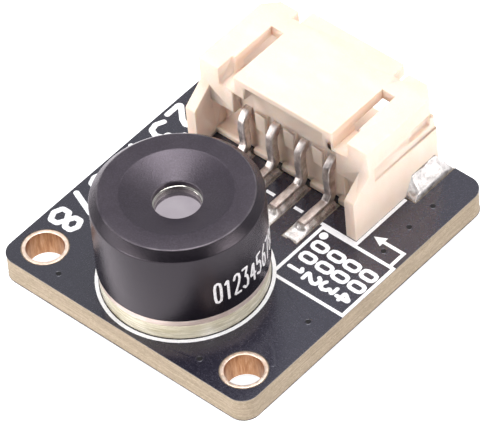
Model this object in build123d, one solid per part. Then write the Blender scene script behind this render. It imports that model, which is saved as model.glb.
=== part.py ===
from build123d import *
import math
import os

# Infrared thermal-array sensor on a small carrier board with a four-way side-entry connector.
# Millimetres, +Z up. The origin is half way between the two mounting holes, on the underside
# of the board. +X runs along the hole row, +Y runs from the hole row to the connector.

# --- Circuit board ---
board_width = 17.5
board_length = 19.7
board_thickness = 1.6
board_corner_radius = 1.0
mask_thickness = 0.05
mask_gap = 0.05
silk_thickness = 0.02
silk_line = 0.2

# --- Mounting holes ---
hole_spacing = 14.1
hole_to_edge = 1.9
hole_bore = 2.1
hole_ring_width = 0.22
plating_wall = 0.05

# --- Sensor ---
sensor_x = 0.2
sensor_y = 3.12
flange_inset = 0.05
flange_thickness = 0.41
header_boss_clearance = 0.25
header_boss_height = 0.25
tab_reach = 0.75
tab_width = 0.85
tab_angle = 135.0
cap_diameter = 9.3
cap_height = 5.02
cap_chamfer = 0.48
cap_wall = 0.5
cap_roof = 2.1
cap_bottom_round = 0.08
dish_diameter = 6.1
dish_depth = 0.65
aperture_diameter = 2.64
aperture_land = 0.3
lens_seat_diameter = 3.2
lens_ring_height = 0.22
lens_lip = 0.06
lens_clear_diameter = 2.46
lens_thickness = 0.38
spacer_inset = 0.03
spacer_height = 1.02
lead_circle = 5.08
lead_diameter = 0.45
lead_count = 4
lead_rise = 0.4
lead_drop = 1.0
lead_clearance = 0.05
glass_wall = 0.35
die_size = 4.2
die_thickness = 0.4
memory_size = 1.3
memory_thickness = 0.3
die_to_memory = 3.3
lead_ring_diameter = 1.5
lead_hole_plating = 0.04
lead_solder_height = 0.7

# --- Connector ---
pin_count = 4
pin_pitch = 2.0
pin_size = 0.5
pin_height = 2.95
pin_bend = 0.35
pin_slope = 0.38
pin_tail_y = 1.37
pin_foot_length = 2.43
pin_tip_setback = 1.0
connector_x = -0.1
connector_overhang = 0.23
connector_width = 11.9
connector_depth = 7.6
connector_height = 5.6
leg_depth = 1.32
leg_wall = 0.7
leg_top = 2.8
arm_bottom = 3.87
side_wall = 1.0
floor_wall = 0.75
roof_wall = 0.8
back_wall_start = 1.9
back_wall_end = 3.2
roof_lip = 0.45
rail_height = 0.45
rail_setback = 0.2
side_front_setback = 0.68
arm_front_setback = 0.38
corner_chamfer = 0.8
notch_width = 0.6
notch_depth = 1.0
slot_from_side = 2.5
slot_width = 0.9
slot_end = 5.5
slot_ledge = 4.4
slot_ledge_end = 2.45
slot_rear_extra = 0.15
recess_step = 0.15
under_arm_top = 2.7
under_arm_depth = 1.0
end_block_width = 0.75
end_block_bottom = 4.3
rib_width = 0.9
rib_depth = 0.28
rib_bottom = 2.0
rib_top = 3.3
pin_gap = 0.16
groove_depth = 0.15
groove_bottom = 3.05
groove_height = 1.0
groove_start = 1.85
pocket_depth = 0.4
pocket_start = 4.8
pocket_length = 1.7
pocket_lift = 0.4

# --- Solder tabs and pads ---
tab_plate = 0.3
tab_start = 4.7
tab_length = 1.9
tab_height = 2.4
tab_foot = 0.8
tab_window = 1.2
tab_fit = 0.02
pad_width = 1.0
pad_length = 3.5
pad_reach = 2.03
tab_pad_overlap = 0.85
tab_pad_width = 1.5
tab_pad_start = 4.12
tab_pad_length = 3.2
solder_height = 0.3
solder_margin = 0.25
solder_taper = 30
tab_solder_height = 1.1
tab_solder_run = 0.35

# --- Underside parts ---
chip_length = 1.6
chip_width = 0.8
chip_end = 0.3
chip_pad = 0.9
capacitor_height = 0.8
resistor_height = 0.45
regulator_length = 2.9
regulator_width = 1.6
regulator_height = 1.05
regulator_lift = 0.08
regulator_lead_width = 0.4
regulator_lead_thickness = 0.15
regulator_lead_reach = 0.6
regulator_pitch = 0.95
underside_row_y = 9.6
resistor_row_y = 12.6
chip_spread = 4.4
resistor_spread = 2.0

# --- Markings ---
box_from_pad = 0.35
box_from_edge = 0.1
box_from_connector = 0.28
box_height = 4.15
arrow_from_edge = 0.35
arrow_rise = 1.15
arrow_gap = 0.5
arrow_head = 0.68
dot_from_corner = 0.45
dot_diameter = 0.5
tick_gap = 0.3
outline_gap = 0.01
outline_run = 3.97

# --- Worked-out places ---
hole_ring = hole_bore + 2 * hole_ring_width
flange_diameter = cap_diameter - 2 * flange_inset
header_boss_diameter = cap_diameter - 2 * cap_wall - 2 * header_boss_clearance
spacer_diameter = flange_diameter - 2 * spacer_inset
laminate_top = board_thickness - mask_thickness
laminate_bottom = mask_thickness
board_centre_y = board_length / 2 - hole_to_edge
board_front_y = board_length - hole_to_edge
flange_bottom = board_thickness + spacer_height
cap_bottom = flange_bottom + flange_thickness
cap_top = cap_bottom + cap_height
aperture_top = cap_top - dish_depth
lens_ring_top = aperture_top - aperture_land
lens_ring_bottom = lens_ring_top - lens_ring_height
cap_ceiling = cap_top - cap_roof
lens_bottom = lens_ring_bottom - lens_thickness
plated_hole = hole_bore + 2 * plating_wall
lead_hole = lead_diameter + 2 * lead_clearance
connector_y = board_front_y + connector_overhang - connector_depth
half_width = connector_width / 2
slot_inner = half_width - slot_from_side
tab_pad_inner = half_width - tab_pad_overlap
rear_rail_y = leg_depth + rail_setback
pin_xs = [(i - (pin_count - 1) / 2) * pin_pitch for i in range(pin_count)]
recess_half_width = slot_inner + recess_step
box_left = connector_x + pin_xs[-1] + pad_width / 2 + box_from_pad
box_right = board_width / 2 - box_from_edge
box_top = connector_y - box_from_connector
box_bottom = box_top - box_height
arrow_tail_x = board_width / 2 - arrow_from_edge
arrow_y = box_top + arrow_rise
arrow_tip_x = connector_x + half_width + arrow_gap
lead_angles = [45.0 + i * 360.0 / lead_count for i in range(lead_count)]


def save(shape, name):
    """Writes one sub-part."""
    export_step(shape, f"parts/{name}.step")


def span(x0, x1, y0, y1, z0, z1):
    """A block between two corners."""
    return Pos((x0 + x1) / 2, (y0 + y1) / 2, (z0 + z1) / 2) * Box(x1 - x0, y1 - y0, z1 - z0)


def drum(diameter, z0, z1, x=0.0, y=0.0):
    """An upright cylinder."""
    return Pos(x, y, (z0 + z1) / 2) * Cylinder(diameter / 2, z1 - z0)


def ring(outer, inner, z0, z1, x=0.0, y=0.0):
    """An upright tube."""
    return drum(outer, z0, z1, x, y) - drum(inner, z0, z1, x, y)


def on_connector(shape):
    """Moves a shape from the connector's own place, seated on the board, to the board frame."""
    return Pos(connector_x, connector_y, board_thickness) * shape


def both_sides(make):
    """Makes the same cut or block on both sides of the connector."""
    block = make()
    return block + mirror(block, about=Plane.YZ)


def lead_places():
    """Centres of the sensor leads."""
    places = []
    for angle in lead_angles:
        turn = math.radians(angle)
        x = sensor_x + lead_circle / 2 * math.cos(turn)
        y = sensor_y + lead_circle / 2 * math.sin(turn)
        places.append((x, y))
    return places


# --- Board and its layers ---
def board_blank(z0, z1):
    """The board outline between two heights."""
    outline = RectangleRounded(board_width, board_length, board_corner_radius)
    return Pos(0, board_centre_y, z0) * extrude(outline, z1 - z0)


def signal_pad(x):
    """One soldering pad under a contact foot."""
    return on_connector(
        span(
            x - pad_width / 2,
            x + pad_width / 2,
            -pad_reach,
            pad_length - pad_reach,
            -mask_thickness,
            0,
        )
    )


def tab_pad(side):
    """One soldering pad under a solder tab."""
    inner = side * tab_pad_inner
    outer = side * (tab_pad_inner + tab_pad_width)
    x0 = min(inner, outer)
    x1 = max(inner, outer)
    y1 = tab_pad_start + tab_pad_length
    return on_connector(span(x0, x1, tab_pad_start, y1, -mask_thickness, 0))


def grown(pad):
    """The opening that the mask leaves around a pad."""
    box = pad.bounding_box()
    return span(
        box.min.X - mask_gap,
        box.max.X + mask_gap,
        box.min.Y - mask_gap,
        box.max.Y + mask_gap,
        box.min.Z,
        box.max.Z,
    )


def hole_cuts(diameter, z0, z1):
    """Both mounting holes."""
    half = hole_spacing / 2
    return drum(diameter, z0, z1, -half) + drum(diameter, z0, z1, half)


def lead_cuts(diameter, z0, z1):
    """The four lead holes."""
    cuts = [drum(diameter, z0, z1, x, y) for x, y in lead_places()]
    return cuts[0] + cuts[1:]


def circuit_board():
    """The bare laminate."""
    core = board_blank(laminate_bottom, laminate_top)
    core -= hole_cuts(plated_hole, laminate_bottom, laminate_top)
    return core - lead_cuts(lead_hole + 2 * lead_hole_plating, laminate_bottom, laminate_top)


def solder_mask(z0, z1, pads):
    """A lacquer layer, open at the rings and pads."""
    layer = board_blank(z0, z1)
    layer -= hole_cuts(hole_ring + 2 * mask_gap, z0, z1)
    layer -= lead_cuts(lead_ring_diameter + 2 * mask_gap, z0, z1)
    for pad in pads:
        layer -= grown(pad)
    return layer


def hole_plating(side):
    """Copper lining of a mounting hole, with a ring on each face."""
    x = side * hole_spacing / 2
    barrel = ring(plated_hole, hole_bore, 0, board_thickness, x)
    lower = ring(hole_ring, hole_bore, 0, laminate_bottom, x)
    upper = ring(hole_ring, hole_bore, laminate_top, board_thickness, x)
    return barrel + lower + upper


def lead_barrel(x, y):
    """Copper lining of a lead hole, with a ring on each face."""
    lined = lead_hole + 2 * lead_hole_plating
    barrel = ring(lined, lead_hole, 0, board_thickness, x, y)
    lower = ring(lead_ring_diameter, lead_hole, 0, laminate_bottom, x, y)
    upper = ring(lead_ring_diameter, lead_hole, laminate_top, board_thickness, x, y)
    return barrel + lower + upper


# --- Printed markings ---
def silk_bar(x0, y0, x1, y1, width=silk_line):
    """A straight printed line between two points."""
    length = math.hypot(x1 - x0, y1 - y0)
    turn = math.degrees(math.atan2(y1 - y0, x1 - x0))
    bar = Box(length + width, width, silk_thickness)
    middle = board_thickness + silk_thickness / 2
    return Pos((x0 + x1) / 2, (y0 + y1) / 2, middle) * Rot(0, 0, turn) * bar


def silk_ring():
    """The circle around the sensor."""
    outer = spacer_diameter + 2 * (mask_gap + silk_line)
    inner = outer - 2 * silk_line
    z1 = board_thickness + silk_thickness
    return ring(outer, inner, board_thickness, z1, sensor_x, sensor_y)


def legend_box():
    """The frame around the pin legend, with the corner dot."""
    frame = silk_bar(box_left, box_top, box_right, box_top)
    frame += silk_bar(box_right, box_top, box_right, box_bottom)
    frame += silk_bar(box_right, box_bottom, box_left, box_bottom)
    frame += silk_bar(box_left, box_bottom, box_left, box_top)
    z1 = board_thickness + silk_thickness
    core = drum(spacer_diameter + 2 * (mask_gap + silk_line), board_thickness, z1, sensor_x, sensor_y)
    dot_x = box_left + dot_from_corner
    dot_y = box_top - dot_from_corner
    return frame - core + drum(dot_diameter, board_thickness, z1, dot_x, dot_y)


def connector_outline():
    """The printed outline beside and behind the connector."""
    side_x = half_width + outline_gap + silk_line / 2
    rear_y = connector_y - outline_gap - silk_line / 2
    inner_x = pin_xs[-1] + pad_width / 2 + silk_line
    lines = None
    for side in (-1, 1):
        x_outer = connector_x + side * side_x
        x_inner = connector_x + side * inner_x
        corner = silk_bar(x_outer, rear_y, x_outer, rear_y + outline_run)
        corner += silk_bar(x_inner, rear_y, x_outer, rear_y)
        lines = corner if lines is None else lines + corner
    for x0, x1 in zip(pin_xs, pin_xs[1:]):
        middle = connector_x + (x0 + x1) / 2
        half = (pin_pitch - pad_width) / 2 - tick_gap
        lines += silk_bar(middle - half, rear_y, middle + half, rear_y)
    return lines


def side_arrow():
    """The arrow from the legend to the connector."""
    shaft = silk_bar(arrow_tail_x, box_top, arrow_tail_x, arrow_y)
    shaft += silk_bar(arrow_tail_x, arrow_y, arrow_tip_x + arrow_head, arrow_y)
    tip = (arrow_tip_x, arrow_y)
    base = arrow_tip_x + arrow_head
    wing = arrow_head / 2
    head = make_face(Polyline(tip, (base, arrow_y + wing), (base, arrow_y - wing), tip))
    return shaft + Pos(0, 0, board_thickness) * extrude(head, silk_thickness)


def silkscreen():
    """All the printed outlines."""
    return silk_ring() + legend_box() + connector_outline() + side_arrow()


# --- Connector ---
def housing_body():
    """The outer block with its rear legs and stepped mouth."""
    side_end = connector_depth - side_front_setback
    arm_end = connector_depth - arm_front_setback
    notch_x = slot_inner - 0.2
    body = span(-half_width, half_width, leg_depth, side_end, 0, connector_height)
    body += span(-notch_x, notch_x, leg_depth, connector_depth, 0, connector_height)
    arm_x = notch_x + notch_width

    def arm_end_block():
        block = span(arm_x, half_width, leg_depth, arm_end, arm_bottom, connector_height)
        post = block.edges().filter_by(Axis.Z).sort_by(Axis.X)[-2:].sort_by(Axis.Y)[-1]
        return chamfer(post, corner_chamfer)

    def arm_corner():
        cut = half_width - corner_chamfer
        cutter = span(cut, half_width, leg_depth, side_end, arm_bottom, connector_height)
        return cutter - arm_end_block()

    def leg():
        points = [(0, 0), (0, leg_top), (leg_depth, arm_bottom), (leg_depth, 0), (0, 0)]
        side = make_face(Polyline(*points))
        upright = extrude(Plane.YZ * side, leg_wall)
        return Pos(half_width - leg_wall, 0, 0) * upright

    def notch():
        end = connector_depth - notch_depth
        return span(notch_x, arm_x, end, connector_depth, arm_bottom, connector_height)

    body += both_sides(arm_end_block)
    body += both_sides(leg)
    body -= both_sides(arm_corner)
    return body - both_sides(notch)


def housing_cavity():
    """The space that takes the plug."""
    x = half_width - side_wall
    z1 = connector_height - roof_wall
    return span(-x, x, back_wall_end, connector_depth, floor_wall, z1)


def rear_recess():
    """The hollow behind the contacts' bends."""
    rail = span(
        leg_wall - half_width, half_width - leg_wall, leg_depth, rear_rail_y, 0, rail_height
    )
    x = recess_half_width
    top = connector_height - roof_lip
    hollow = span(-x, x, leg_depth, back_wall_start, rail_height, top)

    def under_arm():
        z1 = under_arm_top
        y1 = leg_depth + under_arm_depth
        return span(x, half_width - leg_wall, leg_depth, y1, rail_height, z1)

    def end_block():
        x0 = slot_inner - end_block_width
        return span(x0, x, leg_depth, back_wall_start, end_block_bottom, top)

    return rail + hollow + both_sides(under_arm) - both_sides(end_block)


def roof_slot():
    """One of the two slots for the plug's ribs, with the ledge at its rear."""
    x1 = slot_inner + slot_width
    ledge = span(
        slot_inner, x1 + slot_rear_extra, leg_depth, slot_ledge_end, slot_ledge, connector_height
    )
    z0 = connector_height - roof_wall
    return ledge + span(slot_inner, x1, slot_ledge_end, slot_end, z0, connector_height)


def slot_drop():
    """Clears the roof slot down to the plug space."""
    x1 = slot_inner + slot_width
    return span(slot_inner, x1, slot_ledge_end, back_wall_end, slot_ledge, connector_height)


def side_relief():
    """The shallow groove and deeper pocket in a side wall."""
    y1 = connector_depth - side_front_setback
    z1 = groove_bottom + groove_height
    x0 = half_width - groove_depth
    groove = span(x0, half_width, groove_start, y1, groove_bottom, z1)
    pocket = span(
        half_width - pocket_depth,
        half_width,
        pocket_start,
        pocket_start + pocket_length,
        groove_bottom + pocket_lift,
        z1 + pocket_lift,
    )
    return groove + pocket


def tab_cut():
    """Slot and window for a solder tab."""
    x0 = half_width - side_wall / 2 - tab_plate / 2
    x1 = x0 + tab_plate
    y1 = tab_start + tab_length
    slot = span(x0, x1, tab_start, y1, 0, tab_height)
    return slot + span(x0, half_width, tab_start, y1, 0, tab_window)


def wall_rib(x):
    """A rounded rib on the rear wall between two contacts."""
    rib = Cylinder(rib_width / 2, rib_top - rib_bottom)
    rib = Pos(x, back_wall_start, (rib_top + rib_bottom) / 2) * rib
    keep = span(
        x - rib_width, x + rib_width, back_wall_start - rib_depth, back_wall_end, 0, rib_top
    )
    return rib & keep


def pin_notch(x):
    """Clearance for a contact where it passes the bottom rail."""
    half = pin_size / 2 + pin_gap
    return span(x - half, x + half, leg_depth, back_wall_start, 0, rail_height)


def contact_path(x):
    """Centre line of a bent contact, from its tip in the plug space to its soldered foot."""
    tip_y = connector_depth - pin_tip_setback
    foot_z = pin_size / 2
    points = [
        (x, tip_y, pin_height),
        (x, pin_tail_y + pin_slope, pin_height),
        (x, pin_tail_y, pin_height - pin_slope),
        (x, pin_tail_y, foot_z + pin_slope),
        (x, pin_tail_y - pin_slope, foot_z),
        (x, pin_tail_y - pin_foot_length, foot_z),
    ]
    return FilletPolyline(*points, radius=pin_bend)


def contact(x):
    """A square contact, bent down to the board."""
    path = contact_path(x)
    section = Plane(origin=path @ 0, x_dir=(1, 0, 0), z_dir=path % 0) * Rectangle(pin_size, pin_size)
    return sweep(section, path=path)


def connector_housing():
    """The moulded housing."""
    body = housing_body() - housing_cavity() - rear_recess()
    body -= both_sides(roof_slot)
    body -= both_sides(slot_drop)
    body -= both_sides(side_relief)
    body -= both_sides(tab_cut)
    for x0, x1 in zip(pin_xs, pin_xs[1:]):
        body += wall_rib((x0 + x1) / 2)
    for x in pin_xs:
        body -= pin_notch(x)
        half = pin_size / 2
        z0 = pin_height - half
        body -= span(x - half, x + half, leg_depth, back_wall_end, z0, z0 + pin_size)
    return on_connector(body)


def solder_tab(side):
    """The metal tab that ties the housing to the board."""
    x0 = half_width - side_wall / 2 - tab_plate / 2
    y0 = tab_start + tab_fit
    y1 = tab_start + tab_length - tab_fit
    plate = span(x0 + tab_fit, x0 + tab_plate - tab_fit, y0, y1, 0, tab_height)
    plate += span(x0 + tab_fit, x0 + tab_plate + tab_foot, y0, y1, 0, tab_plate)
    return on_connector(plate if side > 0 else mirror(plate, about=Plane.YZ))


def contact_solder(x):
    """The solder around a contact foot."""
    length = pin_foot_length - pin_size + solder_margin
    y0 = pin_tail_y - pin_foot_length - solder_margin
    base = Rectangle(pad_width, length, align=(Align.CENTER, Align.MIN))
    heap = Pos(x, y0, 0) * extrude(base, solder_height, taper=solder_taper)
    foot = span(
        x - pin_size / 2,
        x + pin_size / 2,
        pin_tail_y - pin_foot_length,
        pin_tail_y,
        0,
        connector_height,
    )
    return on_connector(heap - foot)


def tab_solder(side):
    """The solder that climbs a solder tab."""
    x0 = half_width - side_wall / 2 + tab_plate / 2
    reach = tab_pad_inner + tab_pad_width
    points = [
        (x0, tab_plate),
        (x0, tab_solder_height),
        (half_width, tab_solder_height),
        (half_width + tab_solder_run, tab_solder_height / 2),
        (reach, 0),
        (x0 + tab_foot, 0),
        (x0 + tab_foot, tab_plate),
        (x0, tab_plate),
    ]
    face = Plane.XZ * make_face(Polyline(*points))
    length = tab_length - 2 * tab_fit
    heap = Pos(0, tab_start + tab_fit + length, 0) * extrude(face, length)
    return on_connector(heap if side > 0 else mirror(heap, about=Plane.YZ))


# --- Sensor ---
def sensor_place(shape):
    """Moves a shape from the sensor's axis to its place on the board."""
    return Pos(sensor_x, sensor_y, 0) * shape


def sensor_cap():
    """The blackened metal can with its dished top."""
    can = drum(cap_diameter, cap_bottom, cap_top)
    can = chamfer(can.edges().group_by(Axis.Z)[-1], cap_chamfer)
    can = fillet(can.edges().group_by(Axis.Z)[0], cap_bottom_round)
    can -= drum(cap_diameter - 2 * cap_wall, cap_bottom, cap_ceiling)
    dish = Cone(aperture_diameter / 2, dish_diameter / 2, dish_depth)
    can -= Pos(0, 0, cap_top - dish_depth / 2) * dish
    can -= drum(aperture_diameter, cap_ceiling, aperture_top)
    can -= drum(lens_seat_diameter, cap_ceiling, lens_ring_top)
    return sensor_place(can)


def lens_ring():
    """The stepped metal ring above the window."""
    body = ring(lens_seat_diameter, lens_clear_diameter, lens_ring_bottom, lens_ring_top)
    groove = lens_clear_diameter + 4 * lens_lip
    gap = (lens_ring_height - 3 * lens_lip) / 2
    for i in range(2):
        z0 = lens_ring_bottom + lens_lip + i * (gap + lens_lip)
        body -= drum(groove, z0, z0 + gap)
    return sensor_place(body)


def lens_window():
    """The flat infrared window."""
    return sensor_place(drum(lens_seat_diameter, lens_bottom, lens_ring_bottom))


def lens_retainer():
    """The ring that holds the window from inside the can."""
    return sensor_place(ring(lens_seat_diameter, lens_clear_diameter, cap_ceiling, lens_bottom))


def sensor_header():
    """The metal base that the can closes on."""
    base = drum(flange_diameter, flange_bottom, cap_bottom)
    base += drum(header_boss_diameter, cap_bottom, cap_bottom + header_boss_height)
    reach = flange_diameter / 2 + tab_reach
    tab = span(0, reach, -tab_width / 2, tab_width / 2, flange_bottom, cap_bottom)
    base = sensor_place(base + Rot(0, 0, tab_angle) * tab)
    seal = lead_diameter + 2 * glass_wall
    return base - lead_cuts(seal, flange_bottom, cap_bottom + header_boss_height)


def glass_seal(x, y):
    """The glass bead around a lead."""
    top = cap_bottom + header_boss_height
    return ring(lead_diameter + 2 * glass_wall, lead_diameter, flange_bottom, top, x, y)


def sensor_lead(x, y):
    """A round lead, from inside the can to below the board."""
    top = cap_bottom + header_boss_height + lead_rise
    return drum(lead_diameter, -lead_drop, top, x, y)


def insulating_spacer():
    """The plastic disc between can and board."""
    disc = sensor_place(drum(spacer_diameter, board_thickness, flange_bottom))
    return disc - lead_cuts(lead_hole, board_thickness, flange_bottom)


def detector_die():
    """The detector array chip."""
    z0 = cap_bottom + header_boss_height
    return sensor_place(Pos(0, 0, z0 + die_thickness / 2) * Box(die_size, die_size / 2, die_thickness))


def memory_die():
    """The small calibration memory chip beside the array."""
    z0 = cap_bottom + header_boss_height
    chip = Box(memory_size, memory_size / 2, memory_thickness)
    return sensor_place(Pos(0, die_to_memory - memory_size, z0 + memory_thickness / 2) * chip)


def lead_solder(x, y):
    """The cone of solder under a lead hole."""
    small = lead_diameter / 2 + lead_clearance
    cone = Cone(small, lead_ring_diameter / 2, lead_solder_height)
    cone = Pos(x, y, -lead_solder_height / 2) * cone
    return cone - drum(lead_diameter, -lead_solder_height, 0, x, y)


# --- Underside parts ---
def chip_body(x, y, height):
    """The body of a two-ended chip part."""
    inner = chip_length / 2 - chip_end
    return span(x - inner, x + inner, y - chip_width / 2, y + chip_width / 2, -height, 0)


def chip_ends(x, y, height):
    """The two metal ends of a chip part."""
    inner = chip_length / 2 - chip_end
    outer = chip_length / 2
    half = chip_width / 2
    left = span(x - outer, x - inner, y - half, y + half, -height, 0)
    right = span(x + inner, x + outer, y - half, y + half, -height, 0)
    return Compound(children=[left, right])


def chip_pads(x, y):
    """The two pads under a chip part."""
    pads = []
    for side in (-1, 1):
        near = x + side * (chip_length / 2 - chip_end)
        far = near + side * chip_pad
        x0 = min(near, far)
        x1 = max(near, far)
        half = chip_width / 2 + mask_gap
        pads.append(span(x0, x1, y - half, y + half, 0, laminate_bottom))
    return pads


def regulator_lead_places():
    """Sides and offsets of the regulator's five leads."""
    near = [(-1, i * regulator_pitch) for i in (-1, 0, 1)]
    return near + [(1, i * regulator_pitch) for i in (-1, 1)]


def regulator_body():
    """The moulded body of the voltage regulator."""
    x = regulator_length / 2
    y = regulator_width / 2
    z1 = -regulator_lift
    return Pos(0, underside_row_y, 0) * span(-x, x, -y, y, -regulator_height, z1)


def regulator_lead(side, offset):
    """One flat lead, stepped down to its pad."""
    width = regulator_lead_width / 2
    wall = regulator_width / 2
    knee = wall + regulator_lead_thickness
    drop = regulator_height / 2
    half = regulator_lead_thickness / 2
    arm = span(offset - width, offset + width, wall, knee, -drop - half, 0)
    end = wall + regulator_lead_reach
    foot = span(offset - width, offset + width, wall, end, -regulator_lead_thickness, 0)
    lead = arm + foot
    if side < 0:
        lead = mirror(lead, about=Plane.XZ)
    return Pos(0, underside_row_y, 0) * lead


def regulator_leads():
    """The five leads of the regulator."""
    return Compound(children=[regulator_lead(s, o) for s, o in regulator_lead_places()])


def regulator_pads():
    """The pads under the regulator's leads."""
    pads = []
    width = regulator_lead_width / 2 + mask_gap
    near = regulator_width / 2
    far = near + regulator_lead_reach + 2 * mask_gap
    for side, offset in regulator_lead_places():
        y0 = underside_row_y + min(side * near, side * far)
        y1 = underside_row_y + max(side * near, side * far)
        pads.append(span(offset - width, offset + width, y0, y1, 0, laminate_bottom))
    return pads


chips = {
    "capacitor_1": (-chip_spread, underside_row_y, capacitor_height),
    "capacitor_2": (chip_spread, underside_row_y, capacitor_height),
    "resistor_1": (-resistor_spread, resistor_row_y, resistor_height),
    "resistor_2": (resistor_spread, resistor_row_y, resistor_height),
}


def underside_pads():
    """Every pad on the underside."""
    pads = regulator_pads()
    for x, y, _ in chips.values():
        pads += chip_pads(x, y)
    return pads


os.makedirs("parts", exist_ok=True)

signal_pads = [signal_pad(x) for x in pin_xs]
tab_pads = {"left": tab_pad(-1), "right": tab_pad(1)}

save(circuit_board(), "circuit_board")
top_pads = signal_pads + list(tab_pads.values())
save(solder_mask(laminate_top, board_thickness, top_pads), "solder_mask_top")
save(solder_mask(0, laminate_bottom, underside_pads()), "solder_mask_bottom")
save(Compound(children=underside_pads()), "underside_pads")
save(silkscreen(), "silkscreen_top")

for name, side in (("left", -1), ("right", 1)):
    save(hole_plating(side), f"hole_plating_{name}")
    save(tab_pads[name], f"tab_pad_{name}")
    save(solder_tab(side), f"solder_tab_{name}")
    save(tab_solder(side), f"tab_solder_{name}")

save(connector_housing(), "connector_housing")
for number, x in enumerate(pin_xs, 1):
    save(signal_pads[number - 1], f"signal_pad_{number}")
    save(on_connector(contact(x)), f"contact_{number}")
    save(contact_solder(x), f"contact_solder_{number}")

save(sensor_cap(), "sensor_cap")
save(lens_ring(), "lens_ring")
save(lens_window(), "lens_window")
save(lens_retainer(), "lens_retainer")
save(sensor_header(), "sensor_header")
save(insulating_spacer(), "insulating_spacer")
save(detector_die(), "detector_die")
save(memory_die(), "memory_die")
for number, (x, y) in enumerate(lead_places(), 1):
    save(sensor_lead(x, y), f"sensor_lead_{number}")
    save(glass_seal(x, y), f"glass_seal_{number}")
    save(lead_barrel(x, y), f"lead_barrel_{number}")
    save(lead_solder(x, y), f"lead_solder_{number}")

save(regulator_body(), "regulator_body")
save(regulator_leads(), "regulator_leads")
for name, (x, y, height) in chips.items():
    save(chip_body(x, y, height), f"{name}_body")
    save(chip_ends(x, y, height), f"{name}_ends")
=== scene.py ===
# %% [markdown]
# # An infrared thermal-array sensor board
# A small carrier board with a blackened metal sensor can, a four-way side-entry connector and a few chip
# parts on its underside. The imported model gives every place, and Blender gives each piece its soft edges,
# solder, print and finish. Everything is built in millimetres and brought to metres at the very end of
# each piece, because a 0.02 mm layer of ink is easier to think about than 0.00002 m.

import math

import bmesh
import bpy
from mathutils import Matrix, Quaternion, Vector, noise


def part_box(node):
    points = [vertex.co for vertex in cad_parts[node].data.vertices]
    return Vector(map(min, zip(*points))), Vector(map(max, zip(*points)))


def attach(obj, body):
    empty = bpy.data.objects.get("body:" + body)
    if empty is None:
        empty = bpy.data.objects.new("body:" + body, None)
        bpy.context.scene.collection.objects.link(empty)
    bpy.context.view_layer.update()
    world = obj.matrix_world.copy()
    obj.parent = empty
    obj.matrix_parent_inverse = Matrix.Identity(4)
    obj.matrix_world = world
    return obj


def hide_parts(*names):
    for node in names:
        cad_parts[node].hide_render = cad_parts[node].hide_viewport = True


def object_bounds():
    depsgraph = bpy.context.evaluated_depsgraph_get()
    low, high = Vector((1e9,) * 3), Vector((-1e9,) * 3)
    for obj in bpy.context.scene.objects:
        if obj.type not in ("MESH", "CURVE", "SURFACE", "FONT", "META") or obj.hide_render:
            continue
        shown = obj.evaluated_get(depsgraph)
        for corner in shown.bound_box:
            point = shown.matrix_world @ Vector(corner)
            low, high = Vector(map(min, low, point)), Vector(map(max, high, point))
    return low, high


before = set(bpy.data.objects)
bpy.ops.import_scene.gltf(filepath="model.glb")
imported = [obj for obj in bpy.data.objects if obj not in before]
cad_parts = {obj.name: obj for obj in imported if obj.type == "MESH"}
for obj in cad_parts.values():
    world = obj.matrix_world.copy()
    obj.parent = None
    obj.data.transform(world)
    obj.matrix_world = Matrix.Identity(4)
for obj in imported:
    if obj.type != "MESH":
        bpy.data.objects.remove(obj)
cad_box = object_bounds()
scene = bpy.context.scene
print("nodes in the frame:", len(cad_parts))

# %% [markdown]
# ## Reading sizes from the frame
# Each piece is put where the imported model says. The places could be typed in again, but then a changed size
# would leave the two models apart. This helper gives a node's two corners in millimetres instead, so that
# the sizes below are worked out from the frame and move with it.

# %% Corners in millimetres
MM = 0.001


def corners(node):
    """Lowest and highest corner of a node, in millimetres."""
    low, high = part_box(node)
    return low / MM, high / MM


board_low, board_high = corners("circuit_board")
mask_low, mask_high = corners("solder_mask_top")
board_width = mask_high.x - mask_low.x
board_length = mask_high.y - mask_low.y
board_top = mask_high.z
board_corner = 1.0
print("board", round(board_width, 2), "x", round(board_length, 2), "top at", round(board_top, 2))

# %% [markdown]
# ## The camera
# A small object seen through a long lens from a corner and above. A camera could be placed by hand and
# turned until the view fits. Here its place is given by how far round, how high and how far away it is,
# which point is in the middle, and how much it is tipped sideways, because each of these can be corrected
# without upsetting the others.

# %% Long-lens camera
view_turn = math.radians(45.27)
view_height = math.radians(46.91)
view_tip = math.radians(-5.56)
view_distance = 276.08 * MM
view_target = Vector((-0.167, 8.280, 1.929)) * MM

view_back = Vector(
    (
        math.sin(view_turn) * math.cos(view_height),
        -math.cos(view_turn) * math.cos(view_height),
        math.sin(view_height),
    )
)
camera_data = bpy.data.cameras.new("camera")
camera_data.sensor_width = 36.0
camera_data.lens = 381.94
camera_data.clip_start = 0.01
camera_data.clip_end = 10.0
camera = bpy.data.objects.new("camera", camera_data)
scene.collection.objects.link(camera)
camera.rotation_mode = "QUATERNION"
camera.location = view_target + view_back * view_distance
tipped = Quaternion((0.0, 0.0, 1.0), view_tip)
camera.rotation_quaternion = (-view_back).to_track_quat("-Z", "Y") @ tipped
scene.camera = camera
print("camera at", [round(v / MM, 1) for v in camera.location], "mm")

# %% [markdown]
# ## Floor, light and exposure
# The object stands on a plain white table under soft light. One wide lamp overhead makes the broad gloss on
# the can, low ones in front light the faces turned that way, the one on the right draws a soft glint on the
# can's shoulder, and a pale surround fills the shadows. A picture of a studio could light it too, but
# separate lamps can be moved one at a time. Behind the camera the surround is dark, which is what the front
# of the shoulder mirrors. The light is generous, so the pale connector is nearly blown out.

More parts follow.
